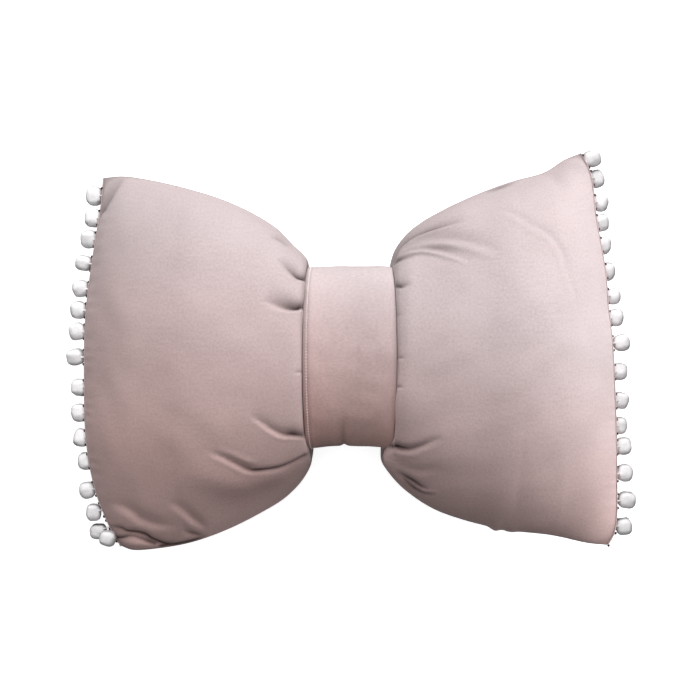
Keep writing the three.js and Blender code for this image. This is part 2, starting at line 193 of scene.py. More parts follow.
@dataclass
class MeshParts:
    """Points and quads of a mesh under way, with what its material reads.

    Attributes:
        points: Places, one a row.
        quads: Corners of the faces, going round anticlockwise seen from outside.
        uv: Place on the flat cloth of each face's corners, in metres, or None.
        fields: Named values of the points.
    """

    points: Array
    quads: Array
    uv: Array | None = None
    fields: dict[str, Array] = field(default_factory=dict)

    def piece(self, name: str, finish: Finish) -> Piece:
        """Makes the mesh an object of the scene, in metres, smooth shaded and at the origin.

        Args:
            name: Name of the object and of its mesh.
            finish: Its material.

        Returns:
            The object.
        """
        mesh = bpy.data.meshes.new(name)
        mesh.from_pydata((self.points * MM).tolist(), [], self.quads.tolist())
        mesh.shade_smooth()
        if self.uv is not None:
            layer = mesh.uv_layers.new(name="cloth")
            layer.uv.foreach_set("vector", self.uv.astype(np.float32).ravel())
        for label, values in self.fields.items():
            attribute = mesh.attributes.new(label, "FLOAT", "POINT")
            attribute.data.foreach_set("value", values.astype(np.float32).ravel())
        mesh.materials.append(finish)
        piece = bpy.data.objects.new(name, mesh)
        bpy.context.scene.collection.objects.link(piece)
        return piece


def numbered(rows: int, columns: int) -> Array:
    """Point numbers of a grid, row by row."""
    return np.arange(rows * columns).reshape(rows, columns)


def grid_quads(index: Array, close_rows: bool = False, close_columns: bool = False) -> Array:
    """Quads between the neighbours of a grid of point numbers.

    Args:
        index: Point numbers, whose first axis crossed with the second points outwards.
        close_rows: Whether the first axis goes round.
        close_columns: Whether the second axis goes round.

    Returns:
        Four point numbers a row.
    """
    rows = np.vstack([index, index[:1]]) if close_rows else index
    whole = np.hstack([rows, rows[:, :1]]) if close_columns else rows
    corners = (whole[:-1, :-1], whole[1:, :-1], whole[1:, 1:], whole[:-1, 1:])
    return np.stack([corner.ravel() for corner in corners], axis=1)


def repeated(shells: Array, quads: Array) -> MeshParts:
    """One mesh of many separate shells of the same build.

    Args:
        shells: Their points, shell by shell along the first axis.
        quads: Quads of the first shell.

    Returns:
        The mesh.
    """
    points = shells.reshape(len(shells), -1, 3)
    shifts = np.arange(len(points))[:, None, None] * points.shape[1]
    return MeshParts(points.reshape(-1, 3), (quads[None] + shifts).reshape(-1, 4))


@dataclass(frozen=True)
class Strand:
    """Many short pieces of thread of one size, rounded off at both ends.

    Attributes:
        middles: Their middles, one a row.
        halves: Half of each one's length, as a vector.
        up: A unit direction across each one.
        radius: Their radius.
        stations: Shares of the half length at which there is a ring of six points.
        taper: How far the thread narrows at its ends.
    """

    middles: Array
    halves: Array
    up: Array
    radius: float
    stations: Sequence[float] = (-1, -0.75, 0, 0.75, 1)
    taper: float = 0.9

    def mesh(self) -> MeshParts:
        """Rings of points round each one's axis, closed at both ends.

        At the share t of the half length from the middle, the ring's radius is the thread's own
        times the square root of 1 - taper t^4.

        Returns:
            The mesh.
        """
        place = np.array(self.stations, float)
        radii = self.radius * np.sqrt(1 - self.taper * place**4)
        turn = round_turn(6)[:, None]
        across = np.cross(unit(self.halves), self.up)
        spokes = np.cos(turn) * across[:, None] + np.sin(turn) * self.up[:, None]
        axis = self.middles[:, None] + self.halves[:, None] * place[:, None]
        rings = axis[:, :, None] + radii[:, None, None] * spokes[:, None]
        index = numbered(len(place), len(turn))
        start, stop = index[0], index[-1]
        ends = [start[[0, 1, 2, 3]], start[[0, 3, 4, 5]], stop[[3, 2, 1, 0]], stop[[5, 4, 3, 0]]]
        walls = grid_quads(index, close_columns=True)[:, ::-1]
        return repeated(rings, np.vstack([walls, ends]))


# Shader nodes


@dataclass(frozen=True)
class Wire:
    """A node's output, on which Python's arithmetic adds Math nodes.

    Attributes:
        graph: The material's nodes it belongs to.
        socket: The output socket.
    """

    graph: "Graph"
    socket: bpy.types.NodeSocket

    def maths(self, operation: str, *values: "Wire | float") -> "Wire":
        """One Math node, clamped nowhere, on the values in order."""
        return self.graph.node("ShaderNodeMath", {"operation": operation}, dict(enumerate(values)))

    def __add__(self, other: "Wire | float") -> "Wire":
        """This and the other."""
        return self.maths("ADD", self, other)

    __radd__ = __add__

    def __sub__(self, other: "Wire | float") -> "Wire":
        """This less the other."""
        return self.maths("SUBTRACT", self, other)

    def __rsub__(self, other: float) -> "Wire":
        """The other less this."""
        return self.maths("SUBTRACT", other, self)

    def __mul__(self, other: "Wire | float") -> "Wire":
        """This times the other."""
        return self.maths("MULTIPLY", self, other)

    __rmul__ = __mul__


class Graph:
    """The nodes of one material."""

    def __init__(self, name: str) -> None:
        """Starts a material of that name with no nodes."""
        self.material = bpy.data.materials.new(name)
        self.material.use_nodes = True
        self.tree = self.material.node_tree
        self.tree.nodes.clear()

    def node(
        self,
        kind: str,
        settings: Mapping[str, Any] | None = None,
        inputs: Mapping[str | int, Any] | None = None,
        output: str | int = 0,
    ) -> Wire:
        """Adds one node.

        Args:
            kind: The node's type.
            settings: Its properties, set first.
            inputs: A value or a wire for each of its input sockets, by name or number.
            output: Name or number of the output that is wanted.

        Returns:
            That output.
        """
        made = self.tree.nodes.new(kind)
        for name, value in (settings or {}).items():
            setattr(made, name, value)
        for name, value in (inputs or {}).items():
            if isinstance(value, Wire):
                self.tree.links.new(value.socket, made.inputs[name])
            else:
                made.inputs[name].default_value = value
        return Wire(self, made.outputs[output])

    def place(self) -> Wire:
        """The object's own coordinates, in metres."""
        return self.node("ShaderNodeTexCoord", output="Object")

    def pressed(self) -> Wire:
        """The point value pressed, which holds painted shade, or 0 on a mesh that has none."""
        return self.node("ShaderNodeAttribute", {"attribute_name": "pressed"}, output="Fac")

    def noise(self, place: Wire, scale: float, roughness: float = 0.5) -> Wire:
        """A Noise Texture's value, about 0.5, at a place."""
        inputs = {"Vector": place, "Scale": scale, "Detail": 2, "Roughness": roughness}
        return self.node("ShaderNodeTexNoise", {}, inputs, "Fac")

    def spread(self, value: Wire, low: float, high: float) -> Wire:
        """How far a value is from low, where this is 0, to high, where it is 1."""
        inputs = {"Value": value, "From Min": low, "From Max": high}
        return self.node("ShaderNodeMapRange", {}, inputs)

    def blend(self, first: Any, second: Any, share: Any, way: str = "MIX") -> Wire:
        """A Mix node on two wires or colours, joined in a named way."""
        settings = {"data_type": "RGBA", "blend_type": way, "clamp_factor": True}
        both = [value if isinstance(value, Wire) else (*value, 1) for value in (first, second)]
        return self.node("ShaderNodeMix", settings, {0: share, 6: both[0], 7: both[1]}, 2)

    def bump(self, height: Wire, strength: float, distance: float) -> Wire:
        """A Bump node's normal, for a relief that is so many metres high."""
        inputs = {"Strength": strength, "Distance": distance, "Height": height}
        return self.node("ShaderNodeBump", {}, inputs)

    def finish(self, inputs: Mapping[str, Any]) -> Finish:
        """Gives the material a surface with these inputs, and hands it out."""
        surface = self.node("ShaderNodeBsdfPrincipled", {}, inputs)
        output = self.tree.nodes.new("ShaderNodeOutputMaterial")
        self.tree.links.new(surface.socket, output.inputs["Surface"])
        return self.material


# Finishes


@dataclass(frozen=True)
class Velvet:
    """Brushed velvet: a short dense pile with a pale sheen, marked where it was stroked.

    Attributes:
        name: The material's name.
        deep: Colour between the pile's tips.
        pale: Colour of the pile's tips.
        painted_shade: What the colour is multiplied by where shade is painted: at the bottom of a
            crease, along the outline seam and under the band.
        painted_lit_tint: What it is multiplied by at the top of the cloth: a painted paler, cooler
            tint where the light from the top falls.
        painted_shaded_tint: What it is multiplied by at the bottom: a painted rosier, darker tint
            where the cloth is in shade.
        turn: Heights in the plan, in metres, between which the painted shaded tint gives way to the
            painted lit one.
        slant: How much lower that change comes for each metre to the right.
        streak: Stretch of the brush marks along the cloth's two directions.
        sheen: Strength of the pale glow that the pile's tips give at a slant.
        scales: Waves a metre of the grain, the brush marks and the patches.
        weights: What the marks and the patches count for beside the grain.
        tones: Sums of the three that give the deep and the pale colour.
        relief: Height of the pile, in metres.
    """

    name: str
    deep: Colour = (0.44, 0.336, 0.334)
    pale: Colour = (0.562, 0.449, 0.449)
    # Painted shade, multiplied into the colour in creases, along the outline seam and under the
    # band.
    painted_shade: Colour = (0.05, 0.025, 0.02)
    # Painted light: the two tints below make the top of the cloth paler and cooler and its bottom
    # rosier and darker, as the light from the top falls.
    painted_lit_tint: Colour = (0.935, 1.0, 1.015)
    painted_shaded_tint: Colour = (1.02, 0.885, 0.84)
    turn: Plan = (-0.145, 0.07)
    slant: float = 0.3
    streak: Point = (0.25, 1, 1)
    sheen: float = 0.18
    scales: Point = (430, 260, 16)
    weights: Plan = (0.3, 0.4)
    tones: Plan = (0.5, 1.2)
    relief: float = 0.0004

    def material(self) -> Finish:
        """Builds the nodes.

        The colour runs from deep to pale with the sum of a fine grain, brush marks drawn out along
        the cloth and wide soft patches. It is multiplied by painted light: a rosier, darker painted
        shaded tint at the bottom that gives way along a slanted line to a paler, cooler painted lit
        tint at the top and right. It is also multiplied by the painted shade colour where the point
        value pressed, which holds painted shade, is high. The same grain and marks raise the pile
        as a bump.

        Returns:
            The material.
        """
        graph = Graph(self.name)
        cloth = graph.node("ShaderNodeUVMap", {"uv_map": "cloth"})
        brushed = {"Vector": cloth, "Scale": self.streak}
        place = graph.place()
        fine, long, wide = self.scales
        some, more = self.weights
        grain = graph.noise(cloth, fine, 0.6)
        marks = graph.noise(graph.node("ShaderNodeMapping", {}, brushed), long, 0.6)
        tone = graph.spread(grain + marks * some + graph.noise(place, wide) * more, *self.tones)
        right, height = (
            graph.node("ShaderNodeSeparateXYZ", {}, {"Vector": place}, axis) for axis in "XY"
        )
        # Painted light: paler and cooler towards the top and the right, where the light falls,
        # rosier and darker towards the bottom.
        lit_share = graph.spread(height + right * self.slant, *self.turn)
        even = graph.blend(self.deep, self.pale, tone)
        pile = graph.blend(even, graph.blend(self.painted_shaded_tint, self.painted_lit_tint, lit_share), 1.0, "MULTIPLY")
        return graph.finish(
            {
                # Painted shade: the colour is darkened where the point value pressed is high.
                "Base Color": graph.blend(pile, self.painted_shade, graph.pressed(), "MULTIPLY"),
                "Roughness": 0.9,
                "Specular IOR Level": 0.15,
                "Sheen Weight": self.sheen,
                "Sheen Roughness": 0.5,
                "Sheen Tint": (1, 0.95, 0.94, 1),
                "Normal": graph.bump(grain + marks * 0.7, 0.35, self.relief),
            }
        )


@dataclass(frozen=True)
class Yarn:
    """Trimmed cotton yarn: a matte cut pile of fine ends.

    Attributes:
        name: The material's name.
        tips: Colour of the yarn's cut ends.
        gaps: Colour between them.
        shaded: What the colour is multiplied by where shade is painted on a pompom's underside and
            top.
        grain: Number of ends, in waves a metre.
        fuzz: Waves of the fine noise to each end, and what it counts for beside them.
        tones: Heights of the pile that give the colours of the gaps and the tips.
        relief: How far the ends stand up, in metres.
    """

    name: str
    tips: Colour = (0.95, 0.94, 0.95)
    gaps: Colour = (0.84, 0.82, 0.83)
    # Painted shade for a pompom's underside, top and rims.
    shaded: Colour = (0.5, 0.49, 0.495)
    grain: float = 1100
    fuzz: Plan = (2.2, 0.5)
    tones: Plan = (0.45, 1.1)
    relief: float = 0.0005

    def material(self) -> Finish:
        """Builds the nodes.

        A cellular pattern of yarn ends and a fine noise set colour and bump, and the colour is
        multiplied by the shaded one, a painted shade, where the point value pressed is high.

        Returns:
            The material.
        """
        graph = Graph(self.name)
        place = graph.place()
        ends = {"Vector": place, "Scale": self.grain, "Randomness": 1.0}
        cells = graph.node("ShaderNodeTexVoronoi", {"feature": "F1"}, ends, "Distance")
        finer, weight = self.fuzz
        height = (1 - cells) + graph.noise(place, self.grain * finer) * weight
        pile = graph.blend(self.gaps, self.tips, graph.spread(height, *self.tones))
        return graph.finish(
            {
                "Base Color": graph.blend(pile, self.shaded, graph.pressed(), "MULTIPLY"),
                "Roughness": 0.95,
                "Specular IOR Level": 0.1,
                "Normal": graph.bump(height, 0.3, self.relief),
            }
        )


@dataclass(frozen=True)
class Paper:
    """The studio's seamless white paper, lit from behind so that it stays pale in a shadow.

    Attributes:
        tone: Its colour.
        fibre: Its colour along a fibre.
        scale: Waves of the fibres a metre.
        glow: Its own light.
    """

    tone: Colour = (0.8, 0.8, 0.8)
    fibre: Colour = (0.784, 0.784, 0.784)
    scale: float = 300
    glow: float = 0.8

    def material(self) -> Finish:
        """Builds the nodes: a faint fibre in the colour, and the glow.

        Returns:
            The material.
        """
        graph = Graph("studio_paper")
        fibres = graph.noise(graph.place(), self.scale)
        return graph.finish(
            {
                "Base Color": graph.blend(self.tone, self.fibre, fibres),
                "Roughness": 1.0,
                "Specular IOR Level": 0.0,
                "Emission Color": (1, 1, 1, 1),
                "Emission Strength": self.glow,
            }
        )


# The bow


@dataclass(frozen=True)
class Row:
    """One section across a wing.

    Attributes:
        top: Where it meets the outline seam at the top.
        bottom: Where it meets it at the bottom.
        crown: The face's rise above the seam.
        belly: The back's drop below the seam.
        edge: How sharp the section is at the seam.
        cuts: Columns of points from this row to the next.
    """

    top: Point
    bottom: Point
    crown: float
    belly: float
    edge: float
    cuts: int


@dataclass(frozen=True)
class Fold:
    """A crease in a panel, along a curved line of the plan.

    Attributes:
        line: Points of its line, each as x, y, the depth there, which is below 0 for a ridge, and
            how dark the painted shade in its hollow is there, from 0 to 1.
        width: How far the trough reaches to each side.
        swell: Height of the roll beside it: above the line if positive, else below.
        lap: How far the cloth above and below the line slides over itself.
        edge: Power of the trough's profile: 2 is round, and nearer 1 is a sharp valley.
        lean: Share by which the trough is wider above the line than below.
        shade_reach: How far the painted shade reaches, as a share of the width.
        pinch: Share of the width that is lost where the painted shade is full.
        steps: Straight steps that its line is taken as.
        roll_offset: Distance of the roll from the line, in widths.
        shade_power: Power of the painted shade's profile.
    """

    line: Sequence[Creased]
    width: float
    swell: float = 0
    lap: float = 0
    edge: float = 1.5
    lean: float = 0
    shade_reach: float = 0.85
    pinch: float = 0
    steps: int = 32
    roll_offset: float = 1.5
    shade_power: float = 1.5

    def shape(self, plan: Array) -> tuple[Array, Array, Array]:
        """Works out how the fold moves the cloth under points of the plan.

        With q the distance from the line in widths, the trough is depth times exp(-|q|^edge) and
        the roll is swell times exp(-(q - 1.5)^2). The slide is lap times q times
        exp((1 - q^2) / 2), towards the line from both sides. All three follow the depth along the
        line, which is a spline through the given ones and may not be 0 all along. The painted
        shade along the line dies away as exp(-|q / r|^1.5), with r the reach of the painted shade.

        Args:
            plan: Points of the plan, with x and y along the last axis.

        Returns:
            How far each point is pressed in, how it slides in the plan, and how dark the painted
            shade is there, from 0 to 1.
        """
        given = Spline(np.array(self.line, float)).at(np.linspace(0, 1, self.steps + 1))
        line = given[:, :2]
        runs = np.diff(line, axis=0)
        offsets = plan[..., None, :] - line[:-1]
        shares = np.clip((offsets * runs).sum(axis=-1) / (runs * runs).sum(axis=-1), 0, 1)
        gaps = offsets - shares[..., None] * runs
        distances = np.linalg.norm(gaps, axis=-1)
        nearest = distances.argmin(axis=-1)[..., None]
        distance = np.take_along_axis(distances, nearest, -1)[..., 0]
        along = (nearest + np.take_along_axis(shares, nearest, -1))[..., 0]
        gap = np.take_along_axis(gaps, nearest[..., None], -2)[..., 0, :]
        run = unit(runs)[nearest[..., 0]]
        up = np.stack([-run[..., 1], run[..., 0]], axis=-1) * np.sign(run[..., :1])
        side = np.where((gap * up).sum(axis=-1) >= 0, 1.0, -1.0)
        ticks = np.arange(self.steps + 1)
        depth = np.interp(along, ticks, given[:, 2])
        dark = np.clip(np.interp(along, ticks, given[:, 3]), 0, 1)
        strength = np.abs(depth) / np.abs(given[:, 2]).max()
        reach = self.width * (1 + side * self.lean) * (1 - self.pinch * dark)
        widths = side * distance / reach
        trough = depth * bell(widths, 1, self.edge)
        turned = widths * (np.sign(self.swell) or 1.0)
        roll = abs(self.swell) * strength * bell(turned - self.roll_offset, 1)
        slide = -self.lap * strength * widths * np.exp((1 - widths**2) / 2)
        # Painted shade along the crease, fading out across it.
        painted_shade = dark * bell(widths, self.shade_reach, self.shade_power)
        return trough - roll, slide[..., None] * up, painted_shade


@dataclass(frozen=True)
class Waist:
    """The gathered middle of the body, under the band.

    Attributes:
        level: Height of the outline seam.
        middle: Its middle along X.
        half_length: Half its length.
        top: Height in the plan of its upper outline.
        bottom: Height in the plan of its lower outline.
        half_depth: How far its face and back bulge from the seam.
        roundness: How sharp its section is at the seam.
        flare: How far the wings' roots lean out past its ends, on the face and on the back.
    """

    level: float = 66
    middle: float = -1
    half_length: float = 39.5
    top: float = 77
    bottom: float = -87
    half_depth: float = 44.5
    roundness: float = 0.85
    flare: Mapping[Panel, float] = field(
        default_factory=lambda: {Panel.FACE: 4.1, Panel.BACK: -3.0}
    )

    def root(self, side: Side) -> Row:
        """The waist's end section, as a wing's first row."""
        x = self.middle + side.value * self.half_length
        top = (x, self.top, self.level)
        bottom = (x, self.bottom, self.level)
        return Row(top, bottom, self.half_depth, self.half_depth, self.roundness, 4)

    def section(self, level: Array, panel: Panel) -> Array:
        """Points of a panel's section as x, y and z from the waist's middle plane.

        The height over the seam is the half depth times 4t(1 - t) to half the roundness, with t
        the fraction up the section, and x is the panel's flare there.

        Args:
            level: Fractions up the section.
            panel: The panel.

        Returns:
            One point for each fraction.
        """
        bulge = np.maximum(4 * level * (1 - level), 0)
        y = mix(self.bottom, self.top, level)
        z = self.level + panel.value * self.half_depth * bulge ** (self.roundness / 2)
        return np.stack([self.flare[panel] * np.sqrt(bulge), y, z], axis=-1)


@dataclass(frozen=True)
class Wing:
    """One puffed wing of the bow.

    Attributes:
        side: Which wing it is.
        rows: Its sections, from the waist outwards.
        end_seam: Points of its end seam, from the bottom corner up.
        shoulder: Points, as y and x, of the line along the band that the face bulges out to.
        folds: The creases in its face.
        gathers: The creases in its back.
        bumps: Small lumps of its lower outline, as their place along X, reach and size.
        end_run: How far in from the end seam it reaches its full height.
        bluntness: How blunt it is there: nearer 0 is blunter.
        skew: Power that moves the face's crown up from the middle of the section.
        bow_power: How fast the sections take the end seam's curve on.
        bump_fade: How fast the lumps of the lower outline fade out up the section.
        shoulder_row: Row whose outline the shoulder's bulge is measured from.
        flare_rows: Rows between which the bulge beside the band fades out.
        fade_rise: Rise over the seam under which folds fade out.
        fold_share: Share of a thin place's rise that folds may take.
        press_share: Share of a fold's sideways part that is kept.
        shoulder_rows: Rows over which the shoulder takes over from the waist's flare.
        skew_rows: Rows over which the skew comes in.
        free_rows: Rows over which the lumps and puckers do.
        seed: First seed of the lumps and puckers.
        lumps: Heights and lengths of the filling's two sizes of lumps.
        pucker: Height, length along the end seam and reach of the puckers beside it.
        pucker_wander: How far the puckers' places wander, and over what length.
        seam_shade: How dark the painted shade along the outline seam is.
        seam_reach: Rise over the seam within which it is.
        tuck_shade: How dark the painted shade under the band is, at the bottom and at the top.
    """

    side: Side
    rows: Sequence[Row]
    end_seam: Sequence[Point]
    shoulder: Sequence[Plan]
    folds: Sequence[Fold]
    gathers: Sequence[Fold]
    bumps: Sequence[Point] = ()
    end_run: float = 140
    bluntness: float = 0.74
    skew: float = 1.1
    bow_power: float = 3
    bump_fade: float = 60
    shoulder_row: float = 1.5
    flare_rows: Plan = (1.5, 4)
    fade_rise: float = 12
    fold_share: float = 0.6
    press_share: float = 0.25
    shoulder_rows: Plan = (0, 1)
    skew_rows: Plan = (0, 3)
    free_rows: Plan = (0, 2)
    seed: int = 10
    lumps: tuple[Plan, Plan] = ((0.8, 70), (0.2, 28))
    pucker: Point = (0.7, 13, 9)
    pucker_wander: Plan = (2, 60)
    seam_shade: float = 0.4
    seam_reach: float = 1.6
    tuck_shade: Plan = (0.7, 0.25)

    def seam(self) -> Spline:
        """The end seam as a curve."""
        return Spline(np.array(self.end_seam, float))

    def row_cuts(self) -> Array:
        """Row numbers of the columns of points; the last interval's crowd towards the end."""
        last = len(self.rows) - 1
        parts = []
        for k, row in enumerate(self.rows[:-1]):
            even = np.arange(row.cuts) / row.cuts
            parts.append(k + (1 - (1 - even) ** 2 if k == last - 1 else even))
        return np.concatenate([*parts, [last]])

    def seam_surface(self, row: Array, level: Array) -> Array:
        """Points of the surface that the outline spans, before it is puffed.

        A straight mix of the bottom and top outlines, plus the end seam's bow off its chord times
        the cube of how far out the row is, less the lumps of the lower outline.

        Args:
            row: Row numbers, one a column.
            level: Fractions up the section.

        Returns:
            A grid of points: columns, then levels.
        """
        share = row / (len(self.rows) - 1)
        top = Spline(np.array([r.top for r in self.rows])).at(share)
        bottom = Spline(np.array([r.bottom for r in self.rows])).at(share)
        seam = self.seam()
        bow = seam.along(level) - mix(seam.points[0], seam.points[-1], level[:, None])
        straight = mix(bottom[:, None], top[:, None], level[None, :, None])
        surface = straight + bow[None] * (share**self.bow_power)[:, None, None]
        for place, reach, size in self.bumps:
            near = bell(surface[..., 0] - place, reach) * np.exp(-level * self.bump_fade)
            surface[..., 1] -= size * near
        return surface

    def grid(self, row: Array, level: Array, panel: Panel) -> tuple[Array, Array]:
        """Points of the puffed and creased panel.

        The rise over the seam surface is the crown (or belly) times the fill, which is
        1 - (1 - s)^2 to the bluntness with s the share of the end run, times the arch, which is
        4t(1 - t) to half the edge with t the fraction up the section, to the power of the skew on
        the face. Beside the band the back stands off by the waist's flare, and the face bulges
        out to the shoulder line. Folds press it in, along its normal but with only a quarter of
        its part in the plan, so that they stay on their lines, and slide it in the plan, and they
        bring their painted shade. The lumps and puckers come last. Shade is also painted under
        the band, darker at the bottom, and along the outline seam by 0.4 times exp(-(rise /
        1.6)^2).

        Args:
            row: Row numbers, one a column.
            level: Fractions up the section.
            panel: The panel.

        Returns:
            A grid of points, columns then levels, and how much shade is painted at each one.
        """
        waist = Waist()
        last = len(self.rows) - 1
        form = Spline(np.array([(r.crown, r.belly, r.edge) for r in self.rows])).at(row / last)
        surface = self.seam_surface(row, level)
        middles = self.seam_surface(np.append(row, last), np.array([0.5]))[:, 0, 0]
        distance = np.abs(middles[-1] - middles[:-1])
        fill = (1 - (1 - np.clip(distance / self.end_run, 0, 1)) ** 2) ** self.bluntness
        height = form[:, 0 if panel is Panel.FACE else 1] * fill
        skew = 1 + (self.skew - 1) * smooth_step(row, *self.skew_rows) * (panel is Panel.FACE)
        place = level[None] ** skew[:, None]
        bulge = np.maximum(4 * place * (1 - place), 0)
        rise = height[:, None] * bulge ** (form[:, 2:] / 2)
        near_band = np.clip((self.flare_rows[1] - row) / np.ptp(self.flare_rows), 0, 1)
        flare = self.side.value * waist.flare[panel] * np.sqrt(bulge)
        if panel is Panel.FACE:
            taken = smooth_step(row, *self.shoulder_rows)[:, None]
            flare = mix(flare, self.shoulder_shift(level), taken)
        points = surface.copy()
        points[..., 0] += flare * near_band[:, None]
        points[..., 2] += panel.value * rise
        fade = np.minimum(np.minimum(rise / self.fade_rise, row[:, None]), 1)
        folds = self.folds if panel is Panel.FACE else self.gathers
        pressed, core = np.zeros(rise.shape), np.zeros(rise.shape)
        slide = np.zeros((*rise.shape, 2))
        for fold in folds:
            depth, sideways, crease = fold.shape(points[..., :2])
            pressed += depth * fade
            slide += sideways * fade[..., None]
            # Painted shade from the folds' hollows.
            core = np.maximum(core, crease * np.minimum(row[:, None], 1))
        pressed = np.minimum(pressed, rise * self.fold_share)
        normals = unit(np.cross(np.gradient(points, axis=0), np.gradient(points, axis=1)))
        inward = -panel.value * self.side.value * normals
        straight = inward * (self.press_share, self.press_share, 1)
        lumps = self.unevenness(points, rise, row, panel)
        points += straight * pressed[..., None] + inward * lumps[..., None]
        points[..., :2] += slide
        points[..., 2] = np.maximum(points[..., 2], 0)
        # Painted shade along the outline seam and under the band, darker at the bottom.
        seam = self.seam_shade * bell(rise, self.seam_reach)
        painted_tuck_shade = np.maximum(1 - row[:, None], 0) * mix(*self.tuck_shade, level)
        return points, np.maximum(np.maximum(core, seam), painted_tuck_shade)

    def shoulder_shift(self, level: Array) -> Array:
        """How far along X the shoulder line is from the outline's own surface, at each level."""
        base = self.seam_surface(np.array([self.shoulder_row]), level)[0]
        heights, places = np.array(self.shoulder).T
        return np.interp(base[:, 1], heights, places) - base[:, 0]

    def unevenness(self, points: Array, rise: Array, row: Array, panel: Panel) -> Array:
        """How far lumps of filling and puckers of the end seam press the cloth in.

        Lumps are two seeded ripples. Puckers are a cosine along the seam, with its phase shifted
        by a ripple, times exp(-distance / reach).

        Args:
            points: The panel's points.
            rise: Their rise over the seam.
            row: Row numbers of the columns.
            panel: The panel.

        Returns:
            The depth at each point.
        """
        seed = self.seed + 2 * self.side.value + panel.value
        (high, wide), (low, narrow) = self.lumps
        lumps = high * ripples(points, wide, seed) + low * ripples(points, narrow, seed + 20)
        height, length, reach = self.pucker
        shift, wander = self.pucker_wander
        seam = points[-1:]
        out = np.linalg.norm(points - seam, axis=-1)
        phase = shift * ripples(seam[..., 1:2], wander, seed + 40)
        puckers = height * np.cos(2 * np.pi * seam[..., 1] / length + phase) * np.exp(-out / reach)
        free = smooth_step(row, *self.free_rows)[:, None]
        return (lumps + puckers) * (np.minimum(rise / self.fade_rise, 1) * free)


def back_gathers(side: Side) -> list[Fold]:
    """The creases that the band gathers into a wing's back, at four heights, with painted shade in
    their hollows near the band.
    """
    middle = Waist().middle
    out = side.value
    return [
        Fold(
            (
                (middle + out * 36.5, level, 7, 0.6),
                (middle + out * 53.5, level * 1.03, 5.5, 0.2),
                (middle + out * 72.5, level * 1.12, 0, 0),
            ),
            width=6,
        )
        for level in (-58, -24, 12, 46)
    ]


# The left wing, with the creases in its face

